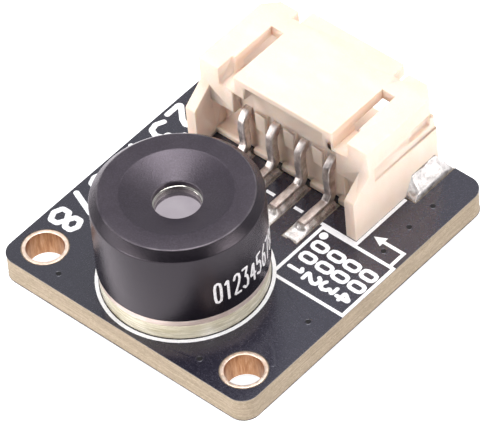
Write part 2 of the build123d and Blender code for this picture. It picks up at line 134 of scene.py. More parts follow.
# %% Table
table = bpy.data.meshes.new("table")
table_maker = bmesh.new()
table_z = cad_box[0].z - 0.02 * MM
bmesh.ops.create_grid(table_maker, x_segments=1, y_segments=1, size=1.5)
bmesh.ops.translate(table_maker, verts=table_maker.verts, vec=(0.0, 0.0, table_z))
table_maker.to_mesh(table)
table_maker.free()
floor = bpy.data.objects.new("table", table)
scene.collection.objects.link(floor)

table_finish = bpy.data.materials.new("table_white")
table_finish.use_nodes = True
table_shader = table_finish.node_tree.nodes["Principled BSDF"]
table_shader.inputs["Base Color"].default_value = (0.6, 0.6, 0.61, 1.0)
table_shader.inputs["Roughness"].default_value = 0.9
table_shader.inputs["Specular IOR Level"].default_value = 0.0
table_shader.inputs["Emission Color"].default_value = (1.0, 1.0, 1.0, 1.0)
table_shader.inputs["Emission Strength"].default_value = 0.85
table.materials.append(table_finish)
print("table at", round(table_z / MM, 2), "mm")

# %% Lamps


def soft_lamp(name, place, aim, size, power, colour=(1.0, 1.0, 1.0)):
    """A square soft lamp at a place in metres, turned to a point."""
    data = bpy.data.lights.new(name, "AREA")
    data.shape = "SQUARE"
    data.size = size
    data.energy = power
    data.color = colour
    lamp = bpy.data.objects.new(name, data)
    scene.collection.objects.link(lamp)
    lamp.location = place
    lamp.rotation_mode = "QUATERNION"
    lamp.rotation_quaternion = (Vector(aim) - Vector(place)).to_track_quat("-Z", "Y")
    return lamp


middle = (0.0, 0.008, 0.003)
soft_lamp("lamp_overhead", (-0.02, 0.05, 0.42), middle, 0.23, 1.2)
soft_lamp("lamp_left", (-0.12, -0.43, 0.11), middle, 0.22, 1.3, (1.0, 0.98, 0.97))
soft_lamp("lamp_low_front", (0.22, -0.36, 0.05), middle, 0.20, 0.35)
soft_lamp("lamp_side", (-0.31, -0.30, 0.20), middle, 0.15, 0.3)
soft_lamp("lamp_right", (0.40, 0.10, 0.20), middle, 0.13, 0.7, (1.0, 0.97, 0.95))

# %% Surround
surround = bpy.data.worlds.new("surround")
surround.use_nodes = True
wires = surround.node_tree.links
toward = surround.node_tree.nodes.new("ShaderNodeTexCoord")
dark_side = surround.node_tree.nodes.new("ShaderNodeVectorMath")
dark_side.operation = "DOT_PRODUCT"
dark_side.inputs[1].default_value = (0.62, -0.62, 0.48)
wires.new(toward.outputs["Generated"], dark_side.inputs[0])
shade = surround.node_tree.nodes.new("ShaderNodeValToRGB")
shade.color_ramp.elements[0].position = 0.55
shade.color_ramp.elements[0].color = (0.97, 0.98, 1.0, 1.0)
shade.color_ramp.elements[1].position = 0.95
shade.color_ramp.elements[1].color = (0.12, 0.12, 0.13, 1.0)
wires.new(dark_side.outputs["Value"], shade.inputs["Fac"])
wires.new(shade.outputs["Color"], surround.node_tree.nodes["Background"].inputs["Color"])
surround.node_tree.nodes["Background"].inputs["Strength"].default_value = 0.74
scene.world = surround
scene.view_settings.view_transform = "Standard"
scene.view_settings.look = "None"
scene.view_settings.exposure = 0.0
print("surround nodes:", len(surround.node_tree.nodes))

# %% [markdown]
# ## Finishes
# A finish is a set of shader nodes: what the colour does, how the gloss varies and how the surface rises
# and falls. Pictures of materials could be wrapped round the pieces, but worked-out patterns need no files,
# have no seams and stay sharp on parts this small. They all read the object's own coordinates, turned into
# millimetres first, so that a noise scale of 10 means about ten blobs per millimetre on any piece.

# %% Helpers for shader nodes


def colour(code):
    """A colour from its usual six-digit code."""
    parts = [int(code[i : i + 2], 16) / 255 for i in (0, 2, 4)]
    flat = [p / 12.92 if p <= 0.04045 else ((p + 0.055) / 1.055) ** 2.4 for p in parts]
    return (flat[0], flat[1], flat[2], 1.0)


class Finish:
    """A material being built, with its shader and its millimetre coordinates."""

    def __init__(self, name, metallic=0.0, specular=0.5):
        self.material = bpy.data.materials.new(name)
        self.material.use_nodes = True
        self.tree = self.material.node_tree
        self.shader = self.tree.nodes["Principled BSDF"]
        self.shader.inputs["Metallic"].default_value = metallic
        self.shader.inputs["Specular IOR Level"].default_value = specular
        self.height = None
        coords = self.tree.nodes.new("ShaderNodeTexCoord")
        scale = self.tree.nodes.new("ShaderNodeVectorMath")
        scale.operation = "SCALE"
        scale.inputs["Scale"].default_value = 1.0 / MM
        self.link(coords.outputs["Object"], scale.inputs[0])
        self.place = scale.outputs["Vector"]

    def link(self, source, target):
        """Joins two sockets."""
        self.tree.links.new(source, target)

    def stretched(self, x, y, z):
        """Coordinates squeezed differently along each axis, for grain and streaks."""
        node = self.tree.nodes.new("ShaderNodeMapping")
        node.inputs["Scale"].default_value = (x, y, z)
        self.link(self.place, node.inputs["Vector"])
        return node.outputs["Vector"]

    def cloud(self, scale, detail=3.0, rough=0.55, where=None):
        """Soft random blobs, about `scale` of them per millimetre."""
        node = self.tree.nodes.new("ShaderNodeTexNoise")
        node.inputs["Scale"].default_value = scale
        node.inputs["Detail"].default_value = detail
        node.inputs["Roughness"].default_value = rough
        self.link(where or self.place, node.inputs["Vector"])
        return node.outputs["Fac"]

    def cells(self, scale):
        """Distance to the nearest of many scattered points, for pits and crystals."""
        node = self.tree.nodes.new("ShaderNodeTexVoronoi")
        node.inputs["Scale"].default_value = scale
        self.link(self.place, node.inputs["Vector"])
        return node.outputs["Distance"]

    def ramp(self, value, stops):
        """A value turned into a colour through a few stops."""
        node = self.tree.nodes.new("ShaderNodeValToRGB")
        ramp = node.color_ramp
        ramp.elements[0].position, ramp.elements[0].color = stops[0]
        ramp.elements[1].position, ramp.elements[1].color = stops[-1]
        for where, shade in stops[1:-1]:
            ramp.elements.new(where).color = shade
        self.link(value, node.inputs["Fac"])
        return node.outputs["Color"]

    def mixed(self, factor, first, second):
        """Two colours mixed by a value."""
        node = self.tree.nodes.new("ShaderNodeMix")
        node.data_type = "RGBA"
        self.link(factor, node.inputs["Factor"])
        self.link(first, node.inputs["A"])
        self.link(second, node.inputs["B"])
        return node.outputs["Result"]

    def blended(self, factor, first, second):
        """Two plain values mixed by a third."""
        node = self.tree.nodes.new("ShaderNodeMix")
        self.link(factor, node.inputs["Factor"])
        self.link(first, node.inputs["A"])
        self.link(second, node.inputs["B"])
        return node.outputs["Result"]

    def span(self, value, low, high, start=0.3, end=0.7):
        """A value moved from one range to another."""
        node = self.tree.nodes.new("ShaderNodeMapRange")
        node.inputs["From Min"].default_value = start
        node.inputs["From Max"].default_value = end
        node.inputs["To Min"].default_value = low
        node.inputs["To Max"].default_value = high
        self.link(value, node.inputs["Value"])
        return node.outputs["Result"]

    def attribute(self, name):
        """A value stored on the piece's own points."""
        node = self.tree.nodes.new("ShaderNodeAttribute")
        node.attribute_name = name
        return node.outputs["Fac"]

    def paint(self, source):
        """Gives the shader its colour."""
        self.link(source, self.shader.inputs["Base Color"])

    def gloss(self, source):
        """Gives the shader its roughness."""
        self.link(source, self.shader.inputs["Roughness"])

    def relief(self, value, depth):
        """Adds rises and falls of so many millimetres to the surface."""
        node = self.tree.nodes.new("ShaderNodeBump")
        node.inputs["Strength"].default_value = 1.0
        node.inputs["Distance"].default_value = depth * MM
        self.link(value, node.inputs["Height"])
        if self.height is not None:
            self.link(self.height, node.inputs["Normal"])
        self.height = node.outputs["Normal"]
        self.link(self.height, self.shader.inputs["Normal"])

    def keep(self, name):
        """Files the finished material under a short name."""
        finishes[name] = self.material
        print(name, "finish:", len(self.tree.nodes), "shader nodes")


finishes = {}
print("finish helpers ready")

# %% [markdown]
# ### Laminate
# The bare board is layers of glass cloth in resin. Its cut edge shows thin streaks along the board, tan and
# olive, with a little pink bloom and pale ends of glass bundles. The layers could be modelled one by one,
# but they are thinner than anything else here. Noise squeezed in Z makes the layers and a finer noise makes
# the bundles.

# %% Glass-cloth laminate
laminate = Finish("laminate_edge", specular=0.35)
layers = laminate.cloud(1.0, 4.0, 0.6, laminate.stretched(0.35, 0.35, 9.0))
bundles = laminate.cloud(6.0, 3.0, 0.7, laminate.stretched(1.0, 1.0, 2.5))
tan = laminate.ramp(
    layers,
    [(0.25, colour("756857")), (0.48, colour("9c8b78")), (0.62, colour("b6a38e")), (0.8, colour("8b7d6b"))],
)
speckled = laminate.ramp(
    bundles, [(0.35, colour("7f7259")), (0.6, colour("ae9d86")), (0.75, colour("dbcbbc"))]
)
half_and_half = laminate.cloud(2.2, 2.0)
laminate.paint(laminate.mixed(half_and_half, tan, speckled))
laminate.gloss(laminate.span(bundles, 0.55, 0.85))
laminate.relief(bundles, 0.02)
laminate.relief(layers, 0.012)
laminate.keep("laminate")

# %% [markdown]
# ### Black lacquer
# Solder mask is a thin black lacquer with a violet cast. It is glossy and a bit orange-peel close up. Its
# colour is painted darker at one corner of the board and lighter at the other, a painted shade that stands in
# for the dark reflections on the board. The peel could be modelled as bumps, but it is a thousandth of a
# millimetre high, so a bump node does it. A clear coat gives the second, sharper gloss of a real varnish.

# %% Solder-mask lacquer
lacquer = Finish("board_lacquer", specular=0.85)
lacquer.shader.inputs["Specular Tint"].default_value = (0.9, 0.9, 1.0, 1.0)
across = lacquer.tree.nodes.new("ShaderNodeMapping")
across.inputs["Location"].default_value = (0.5, 0.25, 0.0)
across.inputs["Rotation"].default_value = (0.0, 0.0, math.radians(-20.0))
across.inputs["Scale"].default_value = (0.06, 0.06, 0.06)
lacquer.link(lacquer.place, across.inputs["Vector"])
# Painted shade: a gradient across the board mixes a darker and a lighter lacquer colour, standing in for the
# dark reflections on the board.
painted_shade_gradient = lacquer.tree.nodes.new("ShaderNodeTexGradient")
lacquer.link(across.outputs["Vector"], painted_shade_gradient.inputs["Vector"])
drift = lacquer.cloud(0.35, 2.0)
peel = lacquer.cloud(9.0, 2.0, 0.5)
dust = lacquer.cells(5.0)
lacquer_painted_dark = lacquer.ramp(drift, [(0.3, colour("171620")), (0.7, colour("1d1b27"))])
lacquer_painted_light = lacquer.ramp(peel, [(0.3, colour("1f1d29")), (0.7, colour("272532"))])
lacquer.paint(lacquer.mixed(painted_shade_gradient.outputs["Fac"], lacquer_painted_dark, lacquer_painted_light))
lacquer.gloss(lacquer.span(peel, 0.2, 0.3))
lacquer.shader.inputs["Coat Weight"].default_value = 0.4
lacquer.shader.inputs["Coat Roughness"].default_value = 0.15
lacquer.relief(peel, 0.0012)
lacquer.relief(dust, 0.0004)
lacquer.keep("lacquer")

# %% [markdown]
# ### Printed white
# The markings are screen-printed white ink: flat, slightly chalky, and a little greyer where the ink is
# thin. Two noises do this: a fine one for the mesh of the screen and a broad one for the thickness of the
# ink.

# %% White ink
ink = Finish("printed_white", specular=0.3)
screen = ink.cloud(12.0, 3.0, 0.6)
patch = ink.cloud(1.4, 2.0)
chalk = ink.ramp(screen, [(0.25, colour("dad9de")), (0.5, colour("f8f8fb")), (0.8, colour("fefeff"))])
worn_ink = ink.ramp(patch, [(0.3, colour("eeeef2")), (0.6, colour("fdfdff"))])
ink.paint(ink.mixed(patch, chalk, worn_ink))
ink.gloss(ink.span(screen, 0.55, 0.8))
ink.relief(screen, 0.004)
ink.keep("ink")

# %% [markdown]
# ### Silvery mark on the can
# The code on the can's wall is burnt in with a laser, which leaves a fine, pale, grainy line that is a
# little metallic. It has its own finish, because white ink would look too flat beside the metal.

# %% Laser mark
mark = Finish("laser_mark", metallic=0.25, specular=0.5)
burn = mark.cloud(16.0, 3.0, 0.7)
mark.paint(mark.ramp(burn, [(0.3, colour("a9a5a8")), (0.5, colour("dedbdc")), (0.7, colour("f4f2f2"))]))
mark.gloss(mark.span(burn, 0.45, 0.75))
mark.relief(burn, 0.004)
mark.keep("mark")

# %% [markdown]
# ### Ring copper
# The mounting holes are lined with plated copper. The ring on the face is pale gold, and the lining inside
# is browner with upright streaks from the drill. Two materials could meet at the lip, but the real colour
# changes softly there, so one material mixes both by a value that is stored on the mesh.

# %% Gold-washed copper
copper = Finish("ring_copper", metallic=1.0)
drill = copper.cloud(1.0, 4.0, 0.6, copper.stretched(5.0, 5.0, 0.8))
stain = copper.cloud(3.0, 3.0)
inside = copper.attribute("inside")
ring_gold = copper.ramp(stain, [(0.3, colour("edcfb9")), (0.6, colour("f9e3d2")), (0.8, colour("fff2e6"))])
lining = copper.ramp(drill, [(0.3, colour("84583c")), (0.5, colour("ad7f5c")), (0.72, colour("cfa888"))])
copper.paint(copper.mixed(inside, ring_gold, lining))
copper.gloss(copper.span(drill, 0.28, 0.5))
copper.relief(drill, 0.01)
copper.relief(stain, 0.006)
copper.keep("copper")

# %% [markdown]
# ### Solder
# Solder cools into a bright skin that is nearly white under a soft lamp, with dull, frosty patches and
# small crystals. Where flux has dried it is brown and dark. The crystals are the cells of a Voronoi
# pattern, used as a bump, and the flux follows a value on the mesh, so that it can sit exactly where solder
# meets a foot.

# %% Solder and flux
solder = Finish("solder", metallic=1.0)
frost = solder.cloud(5.0, 4.0, 0.65)
grain = solder.cloud(13.0, 3.0, 0.7)
crystal = solder.cells(7.0)
flux = solder.attribute("flux")
bright = solder.ramp(frost, [(0.3, colour("b3adac")), (0.48, colour("dcd7d5")), (0.7, colour("f6f3f1"))])
brown = solder.ramp(grain, [(0.32, colour("5f5651")), (0.5, colour("a89e99")), (0.68, colour("f0ebe8"))])
solder.paint(solder.mixed(flux, bright, brown))
solder.gloss(solder.span(frost, 0.36, 0.56))
solder.relief(frost, 0.008)
solder.relief(crystal, 0.005)
solder.relief(grain, 0.006)
solder.keep("solder")

# %% [markdown]
# ### Tinned contacts
# The contacts are drawn brass wire with matt tin on it. Tin is soft, so it has draw lines along the wire,
# dull grey fields and a few warm rubs. A noise squeezed across the wire gives the lines. The bumps are kept
# strong, because bare metal shows its shape mostly by what it mirrors.

# %% Matt tin
tin = Finish("matt_tin", metallic=0.9)
draw = tin.cloud(1.0, 4.0, 0.6, tin.stretched(14.0, 2.0, 2.0))
rub = tin.cloud(2.6, 3.0, 0.6)
grey = tin.ramp(draw, [(0.3, colour("b8aba6")), (0.5, colour("e2d8d4")), (0.7, colour("fbf4f1"))])
warm = tin.ramp(rub, [(0.35, colour("a2928a")), (0.55, colour("e0d4ce")), (0.75, colour("fdf5f1"))])
tin.paint(tin.mixed(rub, grey, warm))
tin.gloss(tin.span(draw, 0.28, 0.44))
tin.relief(draw, 0.008)
tin.relief(rub, 0.02)
tin.keep("tin")

# %% [markdown]
# ### Cream plastic
# The housing is natural nylon: cream, a little translucent, with a fine matt skin from the mould and faint
# flow marks. Plain paint would leave its inside corners hard and dark. Subsurface scattering lets light go
# into it a short way, which softens and warms them as in real nylon.

# %% Moulded cream nylon
nylon = Finish("housing_nylon", specular=0.4)
flow = nylon.cloud(0.5, 3.0, 0.5, nylon.stretched(1.0, 2.2, 1.0))
skin = nylon.cloud(14.0, 2.0, 0.5)
cream = nylon.ramp(flow, [(0.3, colour("eed7c6")), (0.55, colour("f3dece")), (0.75, colour("f6e5d9"))])
pale = nylon.ramp(skin, [(0.3, colour("ecd3be")), (0.7, colour("f4e1d2"))])
nylon.paint(nylon.mixed(skin, cream, pale))
nylon.gloss(nylon.span(skin, 0.42, 0.6))
nylon.relief(skin, 0.003)
nylon.relief(flow, 0.012)
nylon.shader.inputs["Subsurface Weight"].default_value = 0.5
nylon.shader.inputs["Subsurface Scale"].default_value = 0.35 * MM
nylon.shader.inputs["Subsurface Radius"].default_value = (1.0, 0.66, 0.4)
nylon.keep("nylon")

# %% [markdown]
# ### Blackened can
# The can is turned from metal, blasted with fine beads and blackened. It looks charcoal with a violet cast
# and sparkles faintly. Its shoulder's upper corner and the aperture's edge are painted lighter, a painted
# highlight. A bevel shader could find the edges, but it would find all of them, so a value stored on the mesh
# marks just these. A second value tells the finish where the wall and the shoulder are: there it is glossier,
# and its deeper black colour is painted shade.

# %% Bead-blasted black metal
black = Finish("blackened_metal", metallic=0.35)
black.shader.inputs["Specular Tint"].default_value = (1.0, 0.88, 0.98, 1.0)
beads = black.cloud(12.0, 3.0, 0.75)
sparkle = black.cells(11.0)
tone = black.cloud(0.45, 2.0)
# Painted highlight: points marked edge are mixed toward a pale grey. Painted shade: points marked turned get
# a deeper black base colour, as well as more gloss.
edge = black.attribute("edge")
glossy_shaded_side = black.attribute("turned")
charcoal = black.ramp(beads, [(0.28, colour("16131a")), (0.5, colour("252029")), (0.74, colour("393340"))])
painted_shade_black = black.ramp(beads, [(0.3, colour("0c0a0e")), (0.5, colour("141117")), (0.72, colour("1f1b22"))])
edge_highlight_grey = black.ramp(beads, [(0.3, colour("8d868c")), (0.7, colour("cdc6c8"))])
blasted_or_shaded_side = black.mixed(glossy_shaded_side, charcoal, painted_shade_black)
black.paint(black.mixed(edge, blasted_or_shaded_side, edge_highlight_grey))
blasted_gloss = black.span(tone, 0.3, 0.38)
wall_gloss = black.span(tone, 0.2, 0.26)
black.gloss(black.blended(glossy_shaded_side, blasted_gloss, wall_gloss))
shine = black.span(glossy_shaded_side, 1.0, 0.68, 0.0, 1.0)
black.link(shine, black.shader.inputs["Specular IOR Level"])
black.relief(beads, 0.012)
black.relief(sparkle, 0.001)
black.keep("black")

# %% [markdown]
# ### Bare steel
# The header that closes the can is nickel-washed steel. It has the pinkish silver of nickel and fine rings
# from turning. The header is round about an upright axis, so noise squeezed in Z is enough for the rings.

# %% Nickel-washed steel
steel = Finish("nickel_steel", metallic=0.45)
turning = steel.cloud(1.0, 3.0, 0.6, steel.stretched(0.8, 0.8, 22.0))
bloom = steel.cloud(1.6, 3.0)
nickel = steel.ramp(turning, [(0.3, colour("b9a49c")), (0.5, colour("d8c6bd")), (0.7, colour("efe2da"))])
pinkish = steel.ramp(bloom, [(0.35, colour("c2aca3")), (0.7, colour("e8d7cf"))])
steel.paint(steel.mixed(bloom, nickel, pinkish))
steel.gloss(steel.span(turning, 0.3, 0.45))
steel.relief(turning, 0.004)
steel.keep("steel")

# %% [markdown]
# ### Polished steel
# The ring in the aperture is brighter and smoother than the header, with finer rings from turning. It
# mirrors the lamps as thin bright lines, which is nearly all that shows of it.

# %% Polished ring steel
polished = Finish("polished_steel", metallic=1.0)
ring_marks = polished.cloud(1.0, 3.0, 0.6, polished.stretched(0.8, 0.8, 26.0))
polished.paint(
    polished.ramp(ring_marks, [(0.3, colour("8d8a84")), (0.5, colour("b5b2ab")), (0.7, colour("dcdad4"))])
)
polished.gloss(polished.span(ring_marks, 0.06, 0.14))
polished.relief(ring_marks, 0.001)
polished.keep("polished")

# %% [markdown]
# ### Infrared window
# The window is coated silicon: a lilac-grey mirror with a soft colour drift from its coating and hardly any
# scratches. It isn't made see-through, because silicon lets only heat rays pass. The ring above it shows in
# it a second time.

# %% Coated window
window = Finish("coated_window", metallic=0.9, specular=0.5)
coating = window.cloud(0.6, 2.0)
haze = window.cloud(20.0, 2.0)
window.paint(
    window.ramp(coating, [(0.3, colour("c6bcc4")), (0.5, colour("cdc3ca")), (0.72, colour("d4cbd1"))])
)
window.gloss(window.span(haze, 0.04, 0.09))
window.relief(haze, 0.00015)
window.keep("window")

# %% [markdown]
# ### Spacer plastic
# A clear, yellowish plastic lies between can and board. Light gets caught in its rim as pale streaks that
# run round it. Fully clear plastic would need many light bounces and still look grey over black lacquer, so
# most of the look is painted on and only a little light passes.

# %% Yellowish clear plastic
spacer = Finish("spacer_plastic", specular=0.6)
rim_streak = spacer.cloud(1.0, 4.0, 0.6, spacer.stretched(0.7, 0.7, 7.0))
rim_patch = spacer.cloud(0.55, 2.0)
olive = spacer.ramp(
    rim_streak,
    [(0.28, colour("a1977f")), (0.45, colour("beb498")), (0.6, colour("d8cfb8")), (0.78, colour("f2ede2"))],
)
greenish = spacer.ramp(rim_patch, [(0.3, colour("bdb498")), (0.7, colour("fbf6ea"))])
spacer.paint(spacer.mixed(rim_patch, olive, greenish))
spacer.gloss(spacer.span(rim_streak, 0.16, 0.34))
spacer.relief(rim_streak, 0.02)
spacer.shader.inputs["Transmission Weight"].default_value = 0.1
spacer.shader.inputs["IOR"].default_value = 1.49
spacer.keep("spacer")

# %% [markdown]
# ### Lead metal, bead glass and silicon
# Inside the can are parts that nobody sees, but a cut-open view would. The leads are gold-washed wire, the
# beads that seal them are dark green glass, and the chips are polished silicon with rows of fine cells,
# which a brick pattern without an offset draws well.

# %% Lead wire
lead = Finish("lead_wire", metallic=1.0)
lead_draw = lead.cloud(1.0, 3.0, 0.6, lead.stretched(9.0, 9.0, 0.9))
lead.paint(lead.ramp(lead_draw, [(0.3, colour("b3925c")), (0.5, colour("d9bb83")), (0.7, colour("f0dcae"))]))
lead.gloss(lead.span(lead_draw, 0.2, 0.4))
lead.relief(lead_draw, 0.006)
lead.keep("lead")

# %% Bead glass
glass = Finish("bead_glass", specular=0.7)
bubbles = glass.cells(12.0)
glass_flow = glass.cloud(3.0, 2.0)
glass.paint(glass.ramp(glass_flow, [(0.3, colour("1c2a26")), (0.7, colour("31463d"))]))
glass.gloss(glass.span(bubbles, 0.08, 0.22, 0.0, 0.6))
glass.relief(bubbles, 0.004)
glass.keep("glass")

# %% Silicon
silicon = Finish("silicon", metallic=0.6, specular=0.6)
rows = silicon.tree.nodes.new("ShaderNodeTexBrick")
rows.inputs["Scale"].default_value = 8.0
rows.inputs["Mortar Size"].default_value = 0.03
rows.inputs["Color1"].default_value = colour("4d4a66")
rows.inputs["Color2"].default_value = colour("5c5a78")
rows.inputs["Mortar"].default_value = colour("25243a")
rows.offset = 0.0
silicon.link(silicon.place, rows.inputs["Vector"])
silicon.paint(rows.outputs["Color"])
silicon_haze = silicon.cloud(6.0, 2.0)
silicon.gloss(silicon.span(silicon_haze, 0.12, 0.25))
silicon.relief(rows.outputs["Fac"], -0.004)
silicon.keep("silicon")

# %% [markdown]
# ### Chip parts
# The regulator is moulded in black resin with a matt, gritty skin. The capacitors are tan ceramic, and the
# resistors have a black glazed top on white alumina. All three are a noise or two on a plain base, because
# the parts are hardly larger than a grain of rice.

# %% Chip resin
resin = Finish("chip_resin", specular=0.4)
grit = resin.cloud(11.0, 3.0, 0.6)
pits = resin.cells(8.0)
resin.paint(resin.ramp(grit, [(0.3, colour("1d1c1f")), (0.55, colour("2b2a2d")), (0.75, colour("3d3b3e"))]))
resin.gloss(resin.span(grit, 0.55, 0.75))
resin.relief(grit, 0.008)
resin.relief(pits, 0.004)
resin.keep("resin")

# %% Capacitor ceramic
ceramic = Finish("capacitor_ceramic", specular=0.4)
fired = ceramic.cloud(7.0, 3.0, 0.6)
ceramic.paint(
    ceramic.ramp(fired, [(0.3, colour("8d7455")), (0.55, colour("a88d6a")), (0.75, colour("bda483"))])
)
ceramic.gloss(ceramic.span(fired, 0.4, 0.6))
ceramic.relief(fired, 0.006)
ceramic.keep("ceramic")

# %% Resistor glaze
glaze = Finish("resistor_glaze", specular=0.5)
ripple = glaze.cloud(5.0, 2.0)
alumina = glaze.ramp(ripple, [(0.3, colour("d8d6d0")), (0.7, colour("f0eee8"))])
black_glaze = glaze.ramp(ripple, [(0.3, colour("17171a")), (0.7, colour("27262b"))])
glaze.paint(glaze.mixed(glaze.attribute("coated"), alumina, black_glaze))
glaze.gloss(glaze.span(ripple, 0.25, 0.42))
glaze.relief(ripple, 0.008)
glaze.keep("glaze")
print("finishes:", ", ".join(sorted(finishes)))

# %% [markdown]
# ## Making and finishing meshes
# Most pieces are a turned shape from a profile, a flat plate from outlines, or a copy of a node with its
# corners rounded. Solid tools with cuts could make them too, but these three leave even faces that shade
# cleanly. A last helper brings a piece to metres, shades it and hides the nodes it stands for.

# %% Finished piece
pieces = {}


def finish_piece(name, maker, finish, nodes, angle=35.0):
    """Turns a millimetre bmesh into a piece of the object."""
    bmesh.ops.scale(maker, vec=(MM, MM, MM), verts=maker.verts)
    for face in maker.faces:
        face.smooth = True
    mesh = bpy.data.meshes.new(name)
    maker.to_mesh(mesh)
    maker.free()
    if not mesh.materials:
        mesh.materials.append(finishes[finish])
    mesh.set_sharp_from_angle(angle=math.radians(angle))
    piece = bpy.data.objects.new(name, mesh)
    scene.collection.objects.link(piece)
    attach(piece, "root")
    if nodes:
        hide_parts(*nodes)
    pieces[name] = piece
    print(name, len(mesh.polygons), "faces")
    return piece


def round_edges(piece, width, segments):
    """A small live bevel on the sharp corners of a piece, in millimetres."""
    bevel = piece.modifiers.new("soft corners", "BEVEL")
    bevel.width = width * MM
    bevel.segments = segments
    bevel.limit_method = "ANGLE"
    bevel.angle_limit = math.radians(35.0)
    bevel.harden_normals = True
    bevel.use_clamp_overlap = True
    return bevel


# %% Turned shapes


def turned(maker, profile, x, y, steps, closed=False):
    """Spins a profile of (radius, height) points round an upright axis at x, y."""
    rings = []
    for radius, height in profile:
        if radius <= 1e-6:
            rings.append([maker.verts.new((x, y, height))])
            continue
        ring = []
        for step in range(steps):
            turn = 2 * math.pi * step / steps
            ring.append(maker.verts.new((x + radius * math.cos(turn), y + radius * math.sin(turn), height)))
        rings.append(ring)
    pairs = list(zip(rings, rings[1:]))
    if closed:
        pairs.append((rings[-1], rings[0]))
    for lower, upper in pairs:
        for step in range(steps):
            after = (step + 1) % steps
            if len(lower) == 1:
                maker.faces.new((lower[0], upper[after], upper[step]))
            elif len(upper) == 1:
                maker.faces.new((lower[step], lower[after], upper[0]))
            else:
                maker.faces.new((lower[step], lower[after], upper[after], upper[step]))
    bmesh.ops.recalc_face_normals(maker, faces=maker.faces)


def rounded(corner_points, radius, steps=4):
    """A profile with every inner corner rounded off."""
    result = [corner_points[0]]
    for before, here, after in zip(corner_points, corner_points[1:], corner_points[2:]):
        before, corner, after = Vector(before), Vector(here), Vector(after)
        room = min(radius, (before - corner).length * 0.45, (after - corner).length * 0.45)
        start = corner + (before - corner).normalized() * room
        end = corner + (after - corner).normalized() * room
        for step in range(steps + 1):
            share = step / steps
            point = start * (1 - share) ** 2 + corner * 2 * share * (1 - share) + end * share**2
            result.append(tuple(point))
    result.append(corner_points[-1])
    return result


print("a rounded corner has", len(rounded([(0, 0), (1, 0), (1, 1)], 0.2)) - 2, "points")

# %% Flat plates


def circle(diameter, x, y, steps):
    """Points of a circle, in order."""
    turns = [2 * math.pi * i / steps for i in range(steps)]
    return [(x + diameter / 2 * math.cos(t), y + diameter / 2 * math.sin(t)) for t in turns]


def rounded_rectangle(x0, x1, y0, y1, radius, steps):
    """Points of a rectangle with round corners, in order."""
    corners_of = [(x1 - radius, y1 - radius, 0), (x0 + radius, y1 - radius, 90)]
    corners_of += [(x0 + radius, y0 + radius, 180), (x1 - radius, y0 + radius, 270)]
    points = []
    for x, y, start in corners_of:
        for step in range(steps + 1):
            turn = math.radians(start + 90 * step / steps)
            points.append((x + radius * math.cos(turn), y + radius * math.sin(turn)))
    return points


def flat_plate(outlines, low, high, edge):
    """A plate between two heights with softly rounded edges, as a millimetre bmesh. Outlines inside
    the first one are holes."""
    curve = bpy.data.curves.new("plate_outline", "CURVE")
    curve.dimensions = "2D"
    curve.fill_mode = "BOTH"
    for outline in outlines:
        spline = curve.splines.new("POLY")
        spline.points.add(len(outline) - 1)
        for point, (x, y) in zip(spline.points, outline):
            point.co = (x, y, 0.0, 1.0)
        spline.use_cyclic_u = True
    curve.extrude = (high - low) / 2 - edge
    curve.bevel_depth = edge
    curve.bevel_resolution = 1
    curve.offset = -edge
    holder = bpy.data.objects.new("plate_outline", curve)
    scene.collection.objects.link(holder)
    bpy.context.view_layer.update()
    flat = bpy.data.meshes.new_from_object(holder)
    bpy.data.objects.remove(holder)
    maker = bmesh.new()
    maker.from_mesh(flat)
    bmesh.ops.remove_doubles(maker, verts=maker.verts, dist=1e-4)
    bmesh.ops.translate(maker, verts=maker.verts, vec=(0.0, 0.0, (low + high) / 2))
    bmesh.ops.recalc_face_normals(maker, faces=maker.faces)
    return maker


print("a circle of eight points starts at", circle(1.0, 0.0, 0.0, 8)[0])

# %% Copies of nodes


def copy_of(*nodes, flatten=True):
    """A merged millimetre copy of some nodes' meshes, with flat areas joined into single faces."""
    maker = bmesh.new()
    for node in nodes:
        maker.from_mesh(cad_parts[node].data)
    bmesh.ops.scale(maker, vec=(1 / MM, 1 / MM, 1 / MM), verts=maker.verts)
    bmesh.ops.remove_doubles(maker, verts=maker.verts, dist=2e-4)
    if flatten:
        bmesh.ops.dissolve_limit(
            maker, angle_limit=math.radians(0.6), verts=maker.verts, edges=maker.edges
        )
    bmesh.ops.recalc_face_normals(maker, faces=maker.faces)
    return maker


def mark_points(piece, name, value_of):
    """Stores a value on every point of a piece, worked out from its place in millimetres."""
    layer = piece.data.attributes.new(name, "FLOAT", "POINT")
    for index, point in enumerate(piece.data.vertices):
        layer.data[index].value = value_of(point.co / MM)


print("nodes to copy or replace:", len(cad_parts))

# %% [markdown]
# ### Shapes grown by Geometry Nodes
# What repeats or follows a line is grown by a node tree: contact wires, printed strokes, tracks, via lips
# and leads. A loop in Python could place each one, but a tree keeps the shape and its sizes in one place. A
# tree is built with named inputs, set on a modifier by each input's own identifier, and the result is
# turned into a plain mesh.

# %% Node-tree helpers


def new_tree(name, sizes):
    """A geometry node tree with a geometry input, some named sizes and a geometry output."""
    tree = bpy.data.node_groups.new(name, "GeometryNodeTree")
    tree.interface.new_socket("Geometry", in_out="INPUT", socket_type="NodeSocketGeometry")
    for label, value in sizes.items():
        kind = "NodeSocketInt" if isinstance(value, int) else "NodeSocketFloat"
        socket = tree.interface.new_socket(label, in_out="INPUT", socket_type=kind)
        socket.default_value = value
    tree.interface.new_socket("Geometry", in_out="OUTPUT", socket_type="NodeSocketGeometry")
    start = tree.nodes.new("NodeGroupInput")
    end = tree.nodes.new("NodeGroupOutput")
    return tree, start, end


def feed(tree, socket, source):
    """Joins an input to another node's output, or sets it to a plain value."""
    if isinstance(source, bpy.types.NodeSocket):
        tree.links.new(source, socket)
    else:
        socket.default_value = source


